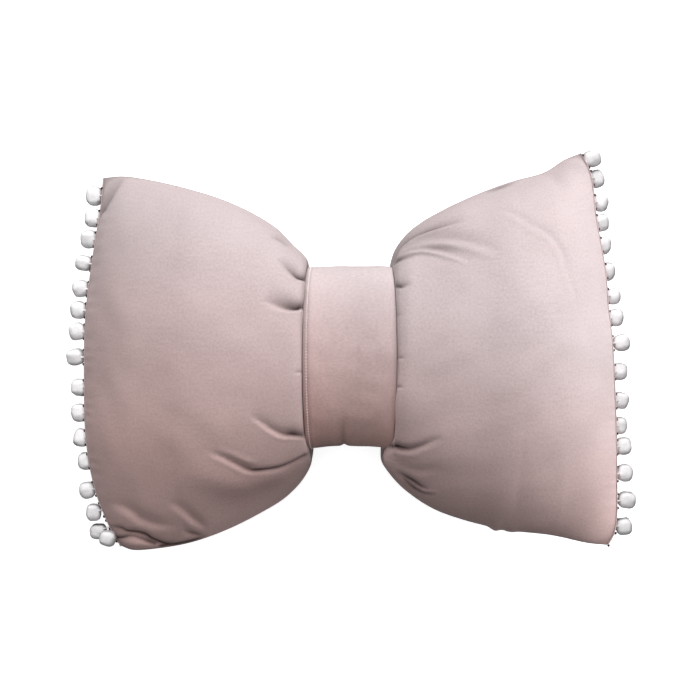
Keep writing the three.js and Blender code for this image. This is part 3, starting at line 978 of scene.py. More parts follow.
# Each point's fourth value is how dark the painted shade in the crease's hollow is there.
LEFT_FOLDS = (
    Fold(((-214, 166, 3, 0.1), (-223.5, 147.5, 6, 0.35), (-231.5, 132, 6, 0.6)),
         width=5.5, edge=1.4, lean=0.65, shade_reach=1),
    Fold(((-75, 106, 0, 0), (-67, 103.5, 2.2, 0.3), (-59, 97.5, 0.8, 0.2)),
         width=2.5, swell=-0.6, lean=0.3),
    Fold(((-42.5, 64.3, 8, 1), (-48.7, 66.5, 7.5, 0.8), (-54, 71.5, 5.5, 0.5),
          (-59.5, 77.5, 3, 0.25), (-67, 84, 0, 0)),
         width=5.5, swell=-0.8, edge=1.3, lean=0.5, pinch=0.5),
    Fold(((-42.3, 38.5, 9, 1), (-49.5, 37.4, 9, 0.85), (-58.4, 38.2, 7.5, 0.5),
          (-67.3, 41.2, 4.5, 0.25), (-79, 46, 0, 0)),
         width=7.5, swell=-1, edge=1.3, lean=0.6, pinch=0.6),
    Fold(((-41.5, -19, 3, 0.6), (-45, -19, 1.5, 0.2), (-51, -20, 0, 0)),
         width=1.6, swell=-0.5, edge=1.3),
    Fold(((-90.3, -55.8, 0, 0), (-79.5, -63.9, 2, 0.05), (-69.6, -71.1, 3.5, 0.15),
          (-60.6, -75.1, 4.5, 0.4), (-52.6, -75.5, 5, 0.95), (-42.5, -77.3, 5, 0.7)),
         width=3.4, swell=-1, edge=1.35, lean=0.35),
    Fold(((-128, -90, 0, 0), (-121, -92.7, 1.2, 0), (-114, -95.7, 2.4, 0.05),
          (-107.5, -99.4, 3.4, 0.12), (-99.7, -104, 4, 0.25), (-92, -107.4, 4, 0.55),
          (-84, -108, 2, 0.3)),
         width=3.6, swell=-1.1, edge=1.4, lean=0.3),
    Fold(((-95, -107.8, 1, 0.2), (-87, -108.1, 4, 0.9), (-79.7, -107.6, 6, 1),
          (-67.4, -105.7, 5.5, 0.95), (-60.5, -103.8, 5, 0.85), (-53.6, -101.2, 4.5, 0.8),
          (-41.4, -95.7, 4, 0.75)),
         width=2.4, swell=-0.5, lap=1.2, edge=1.2, lean=-0.1, shade_reach=1.15),
    Fold(((-122, -87.5, 0, 0), (-107, -93, -1.2, 0), (-94, -99.5, -1.4, 0), (-80, -104, 0, 0)),
         width=3, edge=2),
    # A broad painted shade over the lobe under the big fold, with a low ridge.
    Fold(((-152, -108, 0, 0), (-128, -119, -2, 0.26), (-99, -127, -3.5, 0.42),
          (-66, -119, -3, 0.38), (-50, -110, -1, 0.32)),
         width=13, edge=2, shade_reach=1.2),
    Fold(((-230, -140, 0, 0), (-213, -143.5, 2, 0), (-202.5, -147.8, 3.2, 0.05),
          (-194.2, -154.3, 3.6, 0.08), (-184, -158.5, 3, 0.05), (-170, -160.5, 1.5, 0),
          (-156, -161, 0, 0)),
         width=6, swell=-1, edge=1.7, lean=0.2),
    Fold(((-228, -165, 2, 0.4), (-214, -166.1, 5, 0.7), (-209, -168.3, 8, 0.85),
          (-198.5, -169, 8, 0.9), (-191.4, -171, 8, 1), (-186, -175, 8, 1), (-179, -178.3, 8, 1),
          (-172, -180.9, 6, 1), (-163, -181.5, 3, 0.8)),
         width=2.6, swell=-1, lap=1.4, edge=1.25, lean=0.2, shade_reach=1.1),
    Fold(((-223, -177, 7, 1), (-215, -175.6, 7, 0.9), (-206.6, -173.8, 5, 0.4),
          (-200.5, -174.2, 5, 0.35), (-194.7, -176, 5, 0.5), (-189, -178.2, 5, 0.8),
          (-182.8, -180.5, 3, 0.8)),
         width=2.2, edge=1.25, lean=0.2, shade_reach=0.8),
    Fold(((-220, -181, -6, 0), (-207, -182.5, -9, 0), (-191, -183.5, -6, 0)), width=5, edge=2),
    Fold(((-166, -136, 0, 0), (-153.1, -144.8, 2.2, 0.05), (-146.7, -151.6, 3.2, 0.15),
          (-140.5, -158.1, 3, 0.2), (-132, -167, 0, 0)),
         width=5, swell=-0.9, edge=1.6, lean=0.2),
    Fold(((-156, -165.5, 0, 0), (-150, -168.5, 4, 0.35), (-146.5, -170.2, 6, 0.55),
          (-139, -173, 2, 0.3)),
         width=3, edge=1.4),
    # A line of painted shadow under the lower outline.
    Fold(((-178, -182.7, 2, 0.9), (-160, -180, 2, 1), (-145, -176.5, 2, 0.9), (-132, -172, 0, 0)),
         width=2.2, edge=1.3),
)
LEFT_WING = Wing(
    side=Side.LEFT,
    rows=(
        Waist().root(Side.LEFT),
        Row((-40.5, 85, 66), (-37.5, -94, 66), 57, 50, 0.88, 6),
        Row((-44, 90.8, 66), (-36.5, -105, 66), 65, 56, 0.92, 10),
        Row((-53, 99, 66), (-43.5, -119.5, 66), 69, 62, 0.98, 13),
        Row((-69, 115, 67), (-61, -138, 66), 70, 68, 1.06, 16),
        Row((-92, 129.5, 68), (-87, -154, 67), 72, 74, 1.15, 17),
        Row((-122, 143, 68), (-118, -169, 69), 74, 78, 1.25, 18),
        Row((-156, 153.5, 67), (-150, -180, 71), 75, 80, 1.32, 18),
        Row((-190, 161.5, 64), (-182, -185.5, 72), 75, 80, 1.4, 15),
        Row((-216, 165.5, 60), (-205, -187.5, 68), 74, 78, 1.45, 18),
        Row((-234.5, 164.5, 57), (-217.5, -185, 60), 73, 76, 1.5, 0),
    ),
    end_seam=(
        (-217.5, -185, 60), (-227, -168, 61), (-240.5, -132, 64), (-248.5, -88, 66),
        (-250.5, -25, 67), (-249, 35, 67), (-242, 95, 65), (-236, 138, 61), (-234.5, 164.5, 57),
    ),
    shoulder=(
        (-97, -37.5), (-93.4, -39.4), (-88.4, -40.1), (-82.2, -41.8), (-74, -43), (-62.6, -43.6),
        (-48.3, -44.1), (-35, -44.3), (10, -44.3), (23, -44.2), (45.6, -43.4), (63.9, -42.9),
        (80, -42.4),
    ),
    folds=LEFT_FOLDS,
    gathers=back_gathers(Side.LEFT),
)

# The right wing, with the creases in its face

# Each point's fourth value is how dark the painted shade in the crease's hollow is there.
RIGHT_FOLDS = (
    Fold(((38.5, 79, 8, 0.9), (44.8, 83.6, 5.5, 0.75), (50, 84.8, 3, 0.35), (59, 85, 0, 0)),
         width=3, swell=-1.2, edge=1.3, lean=0.3),
    Fold(((41, 86, 0.5, 0.2), (48.7, 90.5, 2.2, 0.2), (61.2, 93, 3.6, 0.26), (74, 91.7, 3.4, 0.22),
          (90, 87.5, 2, 0.1), (110, 79, 0, 0)),
         width=3.6, swell=-3.4, edge=1.4, lean=0.4, shade_reach=1),
    Fold(((41, 86, 0.5, 0.1), (51.3, 97.3, 2.8, 0.24), (71.2, 103.9, 4.8, 0.26),
          (91.5, 103.2, 4.6, 0.24), (110, 99, 3, 0.14), (134, 90, 0, 0)),
         width=6.5, swell=-4.4, edge=1.5, lean=0.3, shade_reach=1),
    Fold(((38.4, 80.2, 6, 0.5), (45.2, 95.8, 6.5, 0.5), (56.6, 105.1, 9, 0.6),
          (68.5, 110.1, 10, 0.6), (85.5, 114.9, 6, 0.35), (105, 119, 0, 0.05)),
         width=4, swell=-2.6, lap=1.2, edge=1.3, lean=0.5),
    Fold(((60, 115, 0, 0), (75, 121.5, -2, 0), (92.5, 126.5, -2.6, 0), (118, 128, 0, 0)),
         width=2.6, edge=2),
    Fold(((41, 58.5, 6, 1), (44.5, 57.2, 5, 0.8), (49, 58, 3, 0.25), (55, 60.5, 0, 0)),
         width=4, swell=-0.7, edge=1.3, lean=0.5, pinch=0.5),
    Fold(((41, 32, 2, 0.5), (43.5, 32, 1, 0.2), (47, 32, 0, 0)), width=1.3, edge=1.3),
    Fold(((41, -6, 3, 0.8), (44, -6.2, 1.5, 0.3), (49, -6.8, 0, 0)),
         width=1.4, swell=-0.3, edge=1.3),
    Fold(((41, -32, 3, 0.8), (44, -32.2, 1.2, 0.3), (48, -32.6, 0, 0)),
         width=1.4, swell=-0.3, edge=1.3),
    Fold(((37, -87, 5, 1), (41, -87.6, 8, 1), (48, -88.5, 6, 0.8), (55, -88, 4.5, 0.5),
          (64, -84.5, 3, 0.3), (73, -80.2, 1.5, 0.12), (82, -76.5, 0, 0)),
         width=3.2, swell=-1.2, edge=1.3, lean=-0.1),
    Fold(((43, -103.5, 0.8, 0), (61, -109, 1.6, 0), (84, -104, 0, 0)),
         width=5, swell=-0.6, edge=1.8),
    Fold(((45, -112.5, 1, 0.2), (51.6, -116.7, 4, 0.8), (57.7, -120.1, 5, 0.9),
          (63.9, -124.5, 4, 0.7), (72, -128, 0, 0)),
         width=2.2, swell=-0.8, edge=1.25),
    Fold(((46, -114, 1, 0.1), (53.6, -123, 3, 0.6), (60.6, -128.4, 4, 0.75), (68.4, -131.9, 3, 0.5),
          (79, -132, 0, 0)),
         width=2.2, edge=1.4),
    Fold(((56, -121.5, 0, 0), (66, -128.7, -2, 0), (79, -130.3, -0.4, 0)), width=2, edge=2),
    Fold(((128, 133, 0, 0), (148, 126.7, 1.2, 0.06), (164, 116, 1.2, 0.08), (181.3, 106, 1.4, 0.1),
          (193, 90.7, 1.6, 0.12), (197, 77, 1.3, 0.08), (203, 54, 1, 0.04), (211, 20, 0, 0)),
         width=3.6, swell=-1.2, edge=1.5),
    Fold(((182, 170, 3, 0.1), (190, 161, 2.2, 0), (202, 152, 0, 0)), width=6, edge=2),
    # A broad, faint painted shade over the top right corner, with a slight dent.
    Fold(((190, 170, 0.2, 0.05), (209, 176, 0.4, 0.15), (226, 172, 0.2, 0.12)), width=13, edge=2),
    Fold(((124, 148.5, 0, 0), (140, 154, 2.5, 0.5), (160, 161.5, 0, 0)), width=1.6, edge=1.3),
)
RIGHT_WING = Wing(
    side=Side.RIGHT,
    rows=(
        Waist().root(Side.RIGHT),
        Row((38.5, 85.5, 66), (31, -93.5, 66), 54, 50, 0.88, 6),
        Row((42.5, 97, 66), (29.5, -104, 66), 63, 56, 0.92, 10),
        Row((52.5, 110, 66), (38, -118, 66), 69, 62, 0.98, 13),
        Row((67, 121.5, 66), (56, -135, 66), 70, 68, 1.06, 16),
        Row((90, 134.5, 65), (79, -149.5, 66), 72, 74, 1.15, 17),
        Row((120, 148.5, 62), (110, -160.5, 66), 74, 78, 1.25, 18),
        Row((153, 160.5, 62), (148, -169, 66), 75, 80, 1.32, 18),
        Row((184, 169.5, 60), (190, -174, 66), 75, 80, 1.4, 15),
        Row((203, 181.5, 58), (224, -181.5, 64), 74, 78, 1.45, 18),
        Row((218.5, 188, 56), (243.5, -184, 60), 73, 76, 1.5, 0),
    ),
    end_seam=(
        (243.5, -184, 60), (250, -170, 61), (251, -110, 64), (249.3, -45, 66), (246, 12, 67),
        (242.5, 41, 67), (240.5, 72, 66), (232, 127, 62), (227.5, 168, 58), (218.5, 188, 56),
    ),
    shoulder=(
        (-96, 30), (-92, 34), (-85.8, 38), (-76, 40.2), (-58.5, 41.6), (-32.2, 42.6), (-5.5, 43.1),
        (33.7, 42.9), (56.4, 42.2), (76, 41.5), (86, 40.5),
    ),
    folds=RIGHT_FOLDS,
    gathers=back_gathers(Side.RIGHT),
    bumps=((136, 5, 3), (150, 6, 1.6)),
    end_run=118,
    skew=1.05,
)


@dataclass(frozen=True)
class BowCushion:
    """The filled body: a face and a back sewn together round the outline.

    Attributes:
        left: The left wing.
        right: The right wing.
        strips: Strips of quads up a panel.
        crowding: How far the strips crowd towards the outline.
        waist_cuts: Strips of quads along the waist.
        velvet: Its cloth.
    """

    left: Wing = LEFT_WING
    right: Wing = RIGHT_WING
    strips: int = 290
    crowding: float = 0.5
    waist_cuts: int = 6
    velvet: Velvet = Velvet("pink_velvet")

    def panel_grid(self, panel: Panel) -> tuple[Array, Array]:
        """One panel from the left end seam to the right one.

        The waist is a straight mix of the two wings' roots.

        Args:
            panel: The panel.

        Returns:
            A grid of points, columns then levels, and how much shade is painted at each one.
        """
        levels = crowded(np.arange(self.strips + 1) / self.strips, self.crowding)
        left, left_core = self.left.grid(self.left.row_cuts(), levels, panel)
        right, right_core = self.right.grid(self.right.row_cuts(), levels, panel)
        share = np.arange(1, self.waist_cuts)[:, None, None] / self.waist_cuts
        waist = mix(left[:1], right[:1], share)
        points = np.concatenate([left[::-1], waist, right])
        core = np.concatenate([left_core[::-1], np.zeros(waist.shape[:2]), right_core])
        return points, core

    def build(self) -> Piece:
        """Makes the body's mesh: both panels, which share the points of the outline seam.

        Returns:
            The piece.
        """
        face, face_core = self.panel_grid(Panel.FACE)
        back, back_core = self.panel_grid(Panel.BACK)
        columns, rows = face.shape[:2]
        front = numbered(columns, rows)
        rear = front.copy()
        rear[1:-1, 1:-1] = front.size + numbered(columns - 2, rows - 2)
        corners = grid_quads(front)
        flat = [
            self.laid_flat(face).reshape(-1, 2)[corners],
            self.laid_flat(back).reshape(-1, 2)[corners[:, ::-1]] + (0, 1),
        ]
        piece = MeshParts(
            np.vstack([face.reshape(-1, 3), back[1:-1, 1:-1].reshape(-1, 3)]),
            np.vstack([corners, grid_quads(rear)[:, ::-1]]),
            np.vstack(flat).reshape(-1, 2),
            # The value pressed holds the painted shade of the folds, the seam and the tuck under
            # the band.
            {"pressed": np.concatenate([face_core.ravel(), back_core[1:-1, 1:-1].ravel()])},
        ).piece("pillow_body", self.velvet.material())
        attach(piece, "root")
        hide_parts("bow_cushion")
        return piece

    def laid_flat(self, grid: Array) -> Array:
        """Places on the flat cloth, in metres: the way travelled along and up the panel.

        Args:
            grid: The panel's points.

        Returns:
            Two lengths for each point.
        """
        middle = grid.shape[1] // 2
        up = travelled(grid)
        up = up - up[:, middle : middle + 1]
        across = travelled(grid[:, middle])[:, None] + 0 * up
        return np.stack([across, up], axis=-1) * MM


@dataclass(frozen=True)
class CentreBand:
    """The sleeve of cloth round the waist, with its hem stitched down along the left rim.

    Attributes:
        thickness: Thickness of the cloth, folded double.
        gap: Clearance from the waist.
        rim_gap: Clearance from the wings.
        around: Points round half the waist.
        across: Points over the cloth's width.
        flat: Width and length of the cloth laid flat, with its hems, in metres.
        velvet: Its cloth.
        thread: Finish of the stitches.
        crown: How far its middle stands out over its rims.
        spread: How far its rims stand off at the bottom.
        tuck: Depth of the small tuck at the bottom.
        tuck_place: Where the tuck is along X, from the band's middle.
        low_reach: How far up from the bottom the spread and the tuck go.
        groove_inset: Distance from the left rim of the groove that the hem leaves.
        groove: Its depth.
        stitch_inset: Distance of the stitches from the left rim.
        stitch_pitch: Distance from one stitch to the next.
        stitch_length: Length of a stitch.
        thread_radius: Radius of the thread.
        waist: The waist under it.
        crowding: How far the points round it crowd towards the level of the outline seam.
        rim_power: How square its rims are.
        spread_power: How close to the rims the spread stays.
        tuck_width: How far the tuck reaches to each side.
        tuck_power: How round it is.
        groove_width: How far the groove does.
        lumps: Heights and lengths of its two soft ripples.
        fold_width: How far its crease at the level of the outline seam reaches up and down.
        rim_share: Share of the half width past which shade is painted on the rims.
        shades: How dark the painted shade is in the tuck, in the groove, and at the rims and the
            crease.
    """

    thickness: float = 2
    gap: float = 0.4
    rim_gap: float = 0.7
    around: int = 150
    across: int = 60
    flat: Plan = (0.0865, 0.43)
    # Painted light: the band's top is tinted paler and cooler and its bottom rosier and darker.
    velvet: Velvet = Velvet(
        "band_velvet",
        painted_lit_tint=(1.1, 1.2, 1.22),
        painted_shaded_tint=(0.96, 0.78, 0.72),
        turn=(-0.08, 0.075),
        streak=(1, 0.2, 1),
    )
    thread: Yarn = Yarn(
        "band_thread", tips=(1, 0.95, 0.95), gaps=(0.88, 0.8, 0.8), grain=2400, relief=0.0001
    )
    crown: float = 0.5
    spread: float = 3
    tuck: float = 2.2
    tuck_place: float = -5
    low_reach: float = 22
    groove_inset: float = 4.8
    groove: float = 0.5
    stitch_inset: float = 3.4
    stitch_pitch: float = 2.8
    stitch_length: float = 1.3
    thread_radius: float = 0.55
    waist: Waist = Waist()
    crowding: float = 0.5
    rim_power: float = 24
    spread_power: float = 2.5
    tuck_width: float = 2.6
    tuck_power: float = 1.4
    groove_width: float = 1
    lumps: tuple[Plan, Plan] = ((0.36, 42), (0.12, 17))
    fold_width: float = 2.5
    rim_share: float = 0.992
    # Painted shade in the tuck, in the groove, and at the rims and the crease.
    shades: Point = (0.25, 0.2, 0.3)

    def loop(self) -> tuple[Array, Array]:
        """The waist's section as a closed loop, up the face and down the back.

        Returns:
            Its points, with the flare at each as x, and its outward unit directions.
        """
        level = crowded(np.arange(self.around) / self.around, self.crowding)
        face = self.waist.section(level, Panel.FACE)
        back = self.waist.section(1 - level, Panel.BACK)
        points = np.vstack([face, back])
        run = np.roll(points, -1, axis=0) - np.roll(points, 1, axis=0)
        outward = unit(np.stack([np.zeros(len(run)), -run[:, 2], run[:, 1]], axis=-1))
        return points, outward

    def half_width(self, points: Array) -> Array:
        """Distance of the rims from the band's middle, at each point of the loop."""
        return self.waist.half_length - self.rim_gap + points[:, :1]

    def relief(self, points: Array, x: Array) -> tuple[Array, Array]:
        """How far the outer side stands out from an even sleeve.

        With s the share of the half width, that is the crown times 1 - s^2, plus the spread times
        |s|^2.5 and less the tuck times exp(-|dx / width|^1.4), both near the bottom, less the
        groove times exp(-(dx / width)^2), plus two seeded ripples.

        Args:
            points: The loop's points.
            x: Places along X from the band's middle: loop points, then places.

        Returns:
            The height, and how dark the painted shade is, from 0 to 1.
        """
        half = self.half_width(points)
        share = np.abs(x) / half
        y, z = points[:, 1:2], points[:, 2:3]
        low = bell(y - self.waist.bottom, self.low_reach)
        tuck = low * bell(x - self.tuck_place, self.tuck_width, self.tuck_power)
        groove = bell(x + half - self.groove_inset, self.groove_width)
        place = np.stack(np.broadcast_arrays(x, y, z), axis=-1)
        (high, wide), (faint, narrow) = self.lumps
        height = self.crown * (1 - share**2) + self.spread * low * share**self.spread_power
        height += high * ripples(place, wide, 61) + faint * ripples(place, narrow, 62)
        height -= self.tuck * tuck + self.groove * groove
        # Painted shade along the crease at the seam's level and at the rims, and below in the tuck
        # and the groove.
        edges = bell(z - self.waist.level, self.fold_width) + smooth_step(share, self.rim_share, 1)
        in_tuck, in_groove, at_edges = self.shades
        return height, np.clip(in_tuck * tuck + in_groove * groove + at_edges * edges, 0, 1)

    def at(self, x: Array, lift: Array) -> Array:
        """Points over the loop at places along X, lifted off the waist's surface."""
        points, outward = self.loop()
        lifted = points[:, None] + outward[:, None] * lift[..., None]
        lifted[..., 0] = self.waist.middle + x
        return lifted

    def sleeve(self) -> Piece:
        """Makes the band's own mesh.

        The cloth's section runs out over its outer side and back over its inner one, with half
        round rims, and is carried round the waist's loop. Over the width its half thickness is
        that of the cloth times the square root of 1 - |s|^24.

        Returns:
            The piece.
        """
        points, _ = self.loop()
        reach = -np.cos(np.linspace(0, np.pi, self.across))
        rounded = self.thickness / 2 * np.sqrt(1 - np.abs(reach) ** self.rim_power)
        x = np.concatenate([reach, reach[::-1]])[None] * self.half_width(points)
        height, core = self.relief(points, x)
        outer = np.repeat([1.0, 0.0], self.across)[None]
        lift = self.gap + self.thickness / 2 + np.concatenate([rounded, -rounded[::-1]])[None]
        grid = self.at(x, np.maximum(lift + outer * height, self.gap))
        rows, columns = grid.shape[:2]
        width, length = self.flat
        around = np.linspace(0, length, rows + 1)
        over = np.linspace(0, 2 * width, columns + 1)
        flat = np.stack(np.meshgrid(over, around), axis=-1).reshape(-1, 2)
        uv = flat[grid_quads(numbered(rows + 1, columns + 1))[:, ::-1]].reshape(-1, 2)
        quads = grid_quads(numbered(rows, columns), True, True)[:, ::-1]
        # The value pressed holds the painted shade of the band's outer side.
        mesh = MeshParts(grid.reshape(-1, 3), quads, uv, {"pressed": (core * outer).ravel()})
        piece = mesh.piece("band", self.velvet.material())
        return piece

    def stitching(self) -> Piece:
        """Makes the row of stitches, evenly spaced along the left rim all round the band.

        Returns:
            The piece.
        """
        points, _ = self.loop()
        x = self.stitch_inset - self.half_width(points)
        height, _ = self.relief(points, x)
        line = self.at(x, self.gap + self.thickness + height)[:, 0]
        closed = np.vstack([line, line[:1]])
        way = travelled(closed)
        count = int(way[-1] / self.stitch_pitch)
        middles = (np.arange(count) + 0.5) / count * way[-1]
        half = self.stitch_length / 2
        first, centre, last = (
            np.stack([np.interp(middles + shift, way, column) for column in closed.T], axis=1)
            for shift in (-half, 0, half)
        )
        run = unit(last - first)
        thread = Strand(centre, run * half, np.cross(run, (1, 0, 0)), self.thread_radius)
        piece = thread.mesh().piece("band_stitches", self.thread.material())
        return piece

    def build(self) -> tuple[Piece, Piece]:
        """Makes the sleeve and its stitches, and puts them on the body.

        Returns:
            Both pieces.
        """
        pieces = self.sleeve(), self.stitching()
        for piece in pieces:
            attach(piece, "root")
            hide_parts("centre_band")
        return pieces


# The trims


@dataclass(frozen=True)
class Pom:
    """One pompom of a trim.

    Attributes:
        y: Height of its centre in the plan.
        out: How far it sits out from the seam.
        drop: How far below the seam.
        wide: Its width.
        tall: Its height in the plan.
    """

    y: float
    out: float
    drop: float
    wide: float
    tall: float


LEFT_POMS = (
    Pom(147.5, 9.4, 8, 14.5, 18),
    Pom(125.5, 8.2, 9, 15, 17),
    Pom(105, 8.2, 8.5, 14.7, 16.8),
    Pom(82, 10.1, 9, 15, 14.2),
    Pom(58, 9.6, 8, 15, 15.6),
    Pom(38, 9.6, 9, 15, 16.2),
    Pom(18, 9.2, 7, 14.7, 15.8),
    Pom(-6, 10.4, 7, 15, 15),
    Pom(-34.5, 7, 9, 14.6, 15.8),
    Pom(-58.5, 7.4, 8.5, 14.6, 16.8),
    Pom(-82, 6.8, 9, 14, 16.6),
    Pom(-104, 5.4, 9.5, 14, 16.4),
    Pom(-130, 9.8, 8.5, 14.6, 15.4),
    Pom(-150, 10.8, 8, 13.4, 15.6),
    Pom(-166.5, 15, 12, 15.4, 13.8),
    Pom(-174, 6, -4, 14.8, 14.6),
)
RIGHT_POMS = (
    Pom(179.5, 8.8, 6, 15.6, 15),
    Pom(164, 7.8, 14, 14.4, 16.8),
    Pom(141, 8.4, 12, 14.6, 15.6),
    Pom(121.5, 6.4, 14, 14.6, 16.6),
    Pom(100, 5, 14, 14.6, 16.6),
    Pom(75, 4.8, 14, 14.6, 17),
    Pom(51.5, 8.2, 13, 14.6, 15.2),
    Pom(30.5, 8, 10, 14.8, 16),
    Pom(7, 10.6, 7, 15.4, 15.6),
    Pom(-20, 7.6, 12, 14.6, 15.6),
    Pom(-47.5, 7.8, 12, 14.6, 15.4),
    Pom(-71.5, 6, 13, 14.4, 16.4),
    Pom(-91, 9.2, 11, 14.6, 16),
    Pom(-116.5, 10, 9, 14.8, 16.4),
    Pom(-142, 11.4, 8, 16, 15.4),
    Pom(-166, 10, 8, 14.8, 16),
    Pom(-178, -2, 20, 14.4, 15),
)


@dataclass(frozen=True)
class PompomTrim:
    """The trim of one end seam: a tape with pompoms hanging on short stems.

    Attributes:
        wing: The wing it is sewn to.
        poms: Its pompoms, from the top down.
        node: The frame's node that it stands for.
        tape_inset: How far the tape reaches into the seam.
        tape_depth: How far the tape stands out.
        tape_half_height: Half its height.
        stem_radius: Radius of a stem.
        shadow_spot: Half width, half length and radius of the dark spots of painted shadow where a
            pompom meets the tape.
        yarn: Finish of the pompoms and their stems.
        weave: Finish of the tape.
        thread: Finish of the dark spots of painted shadow.
        fineness: Points round a pompom.
        seam_points: Points of the seam among which a pompom's is looked for.
        tape_points: Points along the tape.
        stem_points: Points along a stem.
        stem_root: Share of the tape's depth at which the stems start.
        sides: Points round a tape or stem.
        section_power: Power that squares their sections off.
        seed: Seed of the pompoms' squareness and tilt.
        squareness: Least and greatest power that squares a pompom off: 1 is an ellipsoid.
        tilt: Most degrees that it is turned about each axis.
        flatness: Its depth as a share of its width.
        pile: Pile that stands out past its half sizes.
        fluff: Heights and lengths of the pile's two ripples.
        spacing: Distance between pompoms in the ripples' own space.
        shade: Lean of the painted shade from straight down towards +Y, and the height where it
            ends.
    """

    wing: Wing
    poms: Sequence[Pom]
    node: str
    tape_inset: float = 0.2
    tape_depth: float = 1.2
    tape_half_height: float = 1.2
    stem_radius: float = 0.7
    # Dark spots of painted shadow, over and under each pompom where it meets the tape.
    shadow_spot: Point = (6.7, 1.3, 1.15)
    yarn: Yarn = Yarn("pompom_yarn")
    weave: Yarn = Yarn(
        "trim_tape", tips=(0.5, 0.4, 0.4), gaps=(0.42, 0.33, 0.33), grain=1600, relief=0.0002
    )
    # Near-black finish of the spots of painted shadow.
    thread: Yarn = Yarn(
        "trim_shadow_spots", tips=(0.06, 0.04, 0.04), gaps=(0.02, 0.012, 0.012), grain=1800, relief=0.0002
    )
    fineness: int = 48
    seam_points: int = 2001
    tape_points: int = 260
    stem_points: int = 4
    stem_root: float = 0.4
    sides: int = 12
    section_power: float = 0.6
    seed: int = 31
    squareness: Plan = (0.66, 0.84)
    tilt: float = 14
    flatness: float = 0.96
    pile: float = 0.3
    fluff: tuple[Plan, Plan] = ((0.2, 8), (0.07, 2.6))
    spacing: float = 50
    shade: Plan = (0.35, 0.45)

    def seam_line(self, points: int) -> tuple[Array, Array]:
        """Evenly spaced points of the end seam, and its outward unit directions there."""
        line = self.wing.seam().along(np.linspace(0, 1, points))
        run = np.gradient(line, axis=0)
        outward = unit(np.stack([run[:, 1], -run[:, 0], 0 * run[:, 0]], axis=1))
        return line, outward * self.wing.side.value

    def seam_frames(self) -> tuple[Array, Array]:
        """The seam's points at the pompoms' heights, and its outward unit directions there."""
        line, outward = self.seam_line(self.seam_points)
        heights = np.array([pom.y for pom in self.poms])
        nearest = np.abs(line[:, 1][None] - heights[:, None]).argmin(axis=1)
        return line[nearest], outward[nearest]

    def centres(self) -> tuple[Array, Array]:
        """Where the stems start on the tape, and where the pompoms' centres are."""
        seam, outward = self.seam_frames()
        middles = seam + outward * np.array([[pom.out] for pom in self.poms])
        middles[:, 2] -= np.array([pom.drop for pom in self.poms])
        return seam + outward * self.tape_depth * self.stem_root, middles

    def ball(self) -> tuple[Array, Array]:
        """A ball of rings of points from its pole at +Y to that at -Y.

        Returns:
            The points' unit directions, with the poles last, and the quads.
        """
        rings = self.fineness // 2
        tilt = np.linspace(0, np.pi, rings + 1)[1:-1, None]
        turn = round_turn(self.fineness)[None]
        x, z = np.sin(tilt) * np.cos(turn), -np.sin(tilt) * np.sin(turn)
        ball = np.stack(np.broadcast_arrays(x, np.cos(tilt), z), axis=-1).reshape(-1, 3)
        index = numbered(rings - 1, self.fineness)
        top = self.cap(index[0], index.size)
        bottom = self.cap(index[-1], index.size + 1)[:, ::-1]
        quads = np.vstack([grid_quads(index, close_columns=True), top, bottom])
        return np.vstack([ball, [[0, 1, 0], [0, -1, 0]]]), quads

    @staticmethod
    def cap(ring: Array, pole: int) -> Array:
        """Quads from a ring's points to its pole, two of its steps in each."""
        middle, last = np.roll(ring, -1), np.roll(ring, -2)
        return np.stack([np.full(len(ring), pole), ring, middle, last], axis=1)[::2]

    @staticmethod
    def turns(angles: Array) -> Array:
        """Rotation matrices of small turns about X, Y and Z, one after the other."""
        cos, sin = np.cos(angles), np.sin(angles)
        whole = np.broadcast_to(np.eye(3), (len(angles), 3, 3)).copy()
        for axis in range(3):
            one = np.broadcast_to(np.eye(3), (len(angles), 3, 3)).copy()
            a, b = (axis + 1) % 3, (axis + 2) % 3
            one[:, a, a] = one[:, b, b] = cos[:, axis]
            one[:, a, b] = -sin[:, axis]
            one[:, b, a] = sin[:, axis]
            whole = whole @ one
        return whole

    def pompoms(self) -> MeshParts:
        """All pompoms as one mesh.

        Each is a superellipsoid: a ball's three coordinates, each to a power that squares it off.
        It is turned by a few degrees, and two seeded ripples make its trimmed pile uneven. The
        value pressed holds a painted shade that greys its underside and top, and so its rims seen
        from straight above: it rises from 0 to 1 as z less the lean times y of its direction falls
        from the shade's end to 0.

        Returns:
            The mesh.
        """
        random = np.random.default_rng(self.seed + self.wing.side.value)
        count = len(self.poms)
        ball, quads = self.ball()
        power = random.uniform(*self.squareness, (count, 1, 1))
        shape = np.sign(ball)[None] * np.abs(ball)[None] ** power
        sizes = np.array([(pom.wide, pom.tall, pom.wide * self.flatness) for pom in self.poms])
        shape = shape * (sizes / 2 + self.pile)[:, None]
        place = shape + self.spacing * np.arange(count)[:, None, None]
        (high, wide), (low, narrow) = self.fluff
        fluff = high * ripples(place, wide, 71) + low * ripples(place, narrow, 72)
        shape += ball[None] * fluff[..., None]
        turns = self.turns(np.radians(random.uniform(-self.tilt, self.tilt, (count, 3))))
        _, middles = self.centres()
        mesh = repeated(shape @ turns + middles[:, None], quads)
        direction = ball[None] @ turns
        # Painted shade that greys each pompom's underside, top and rims.
        lean, end = self.shade
        shaded = 1 - smooth_step(direction[..., 2] - lean * direction[..., 1], 0, end)
        mesh.fields["pressed"] = shaded.ravel()
        return mesh

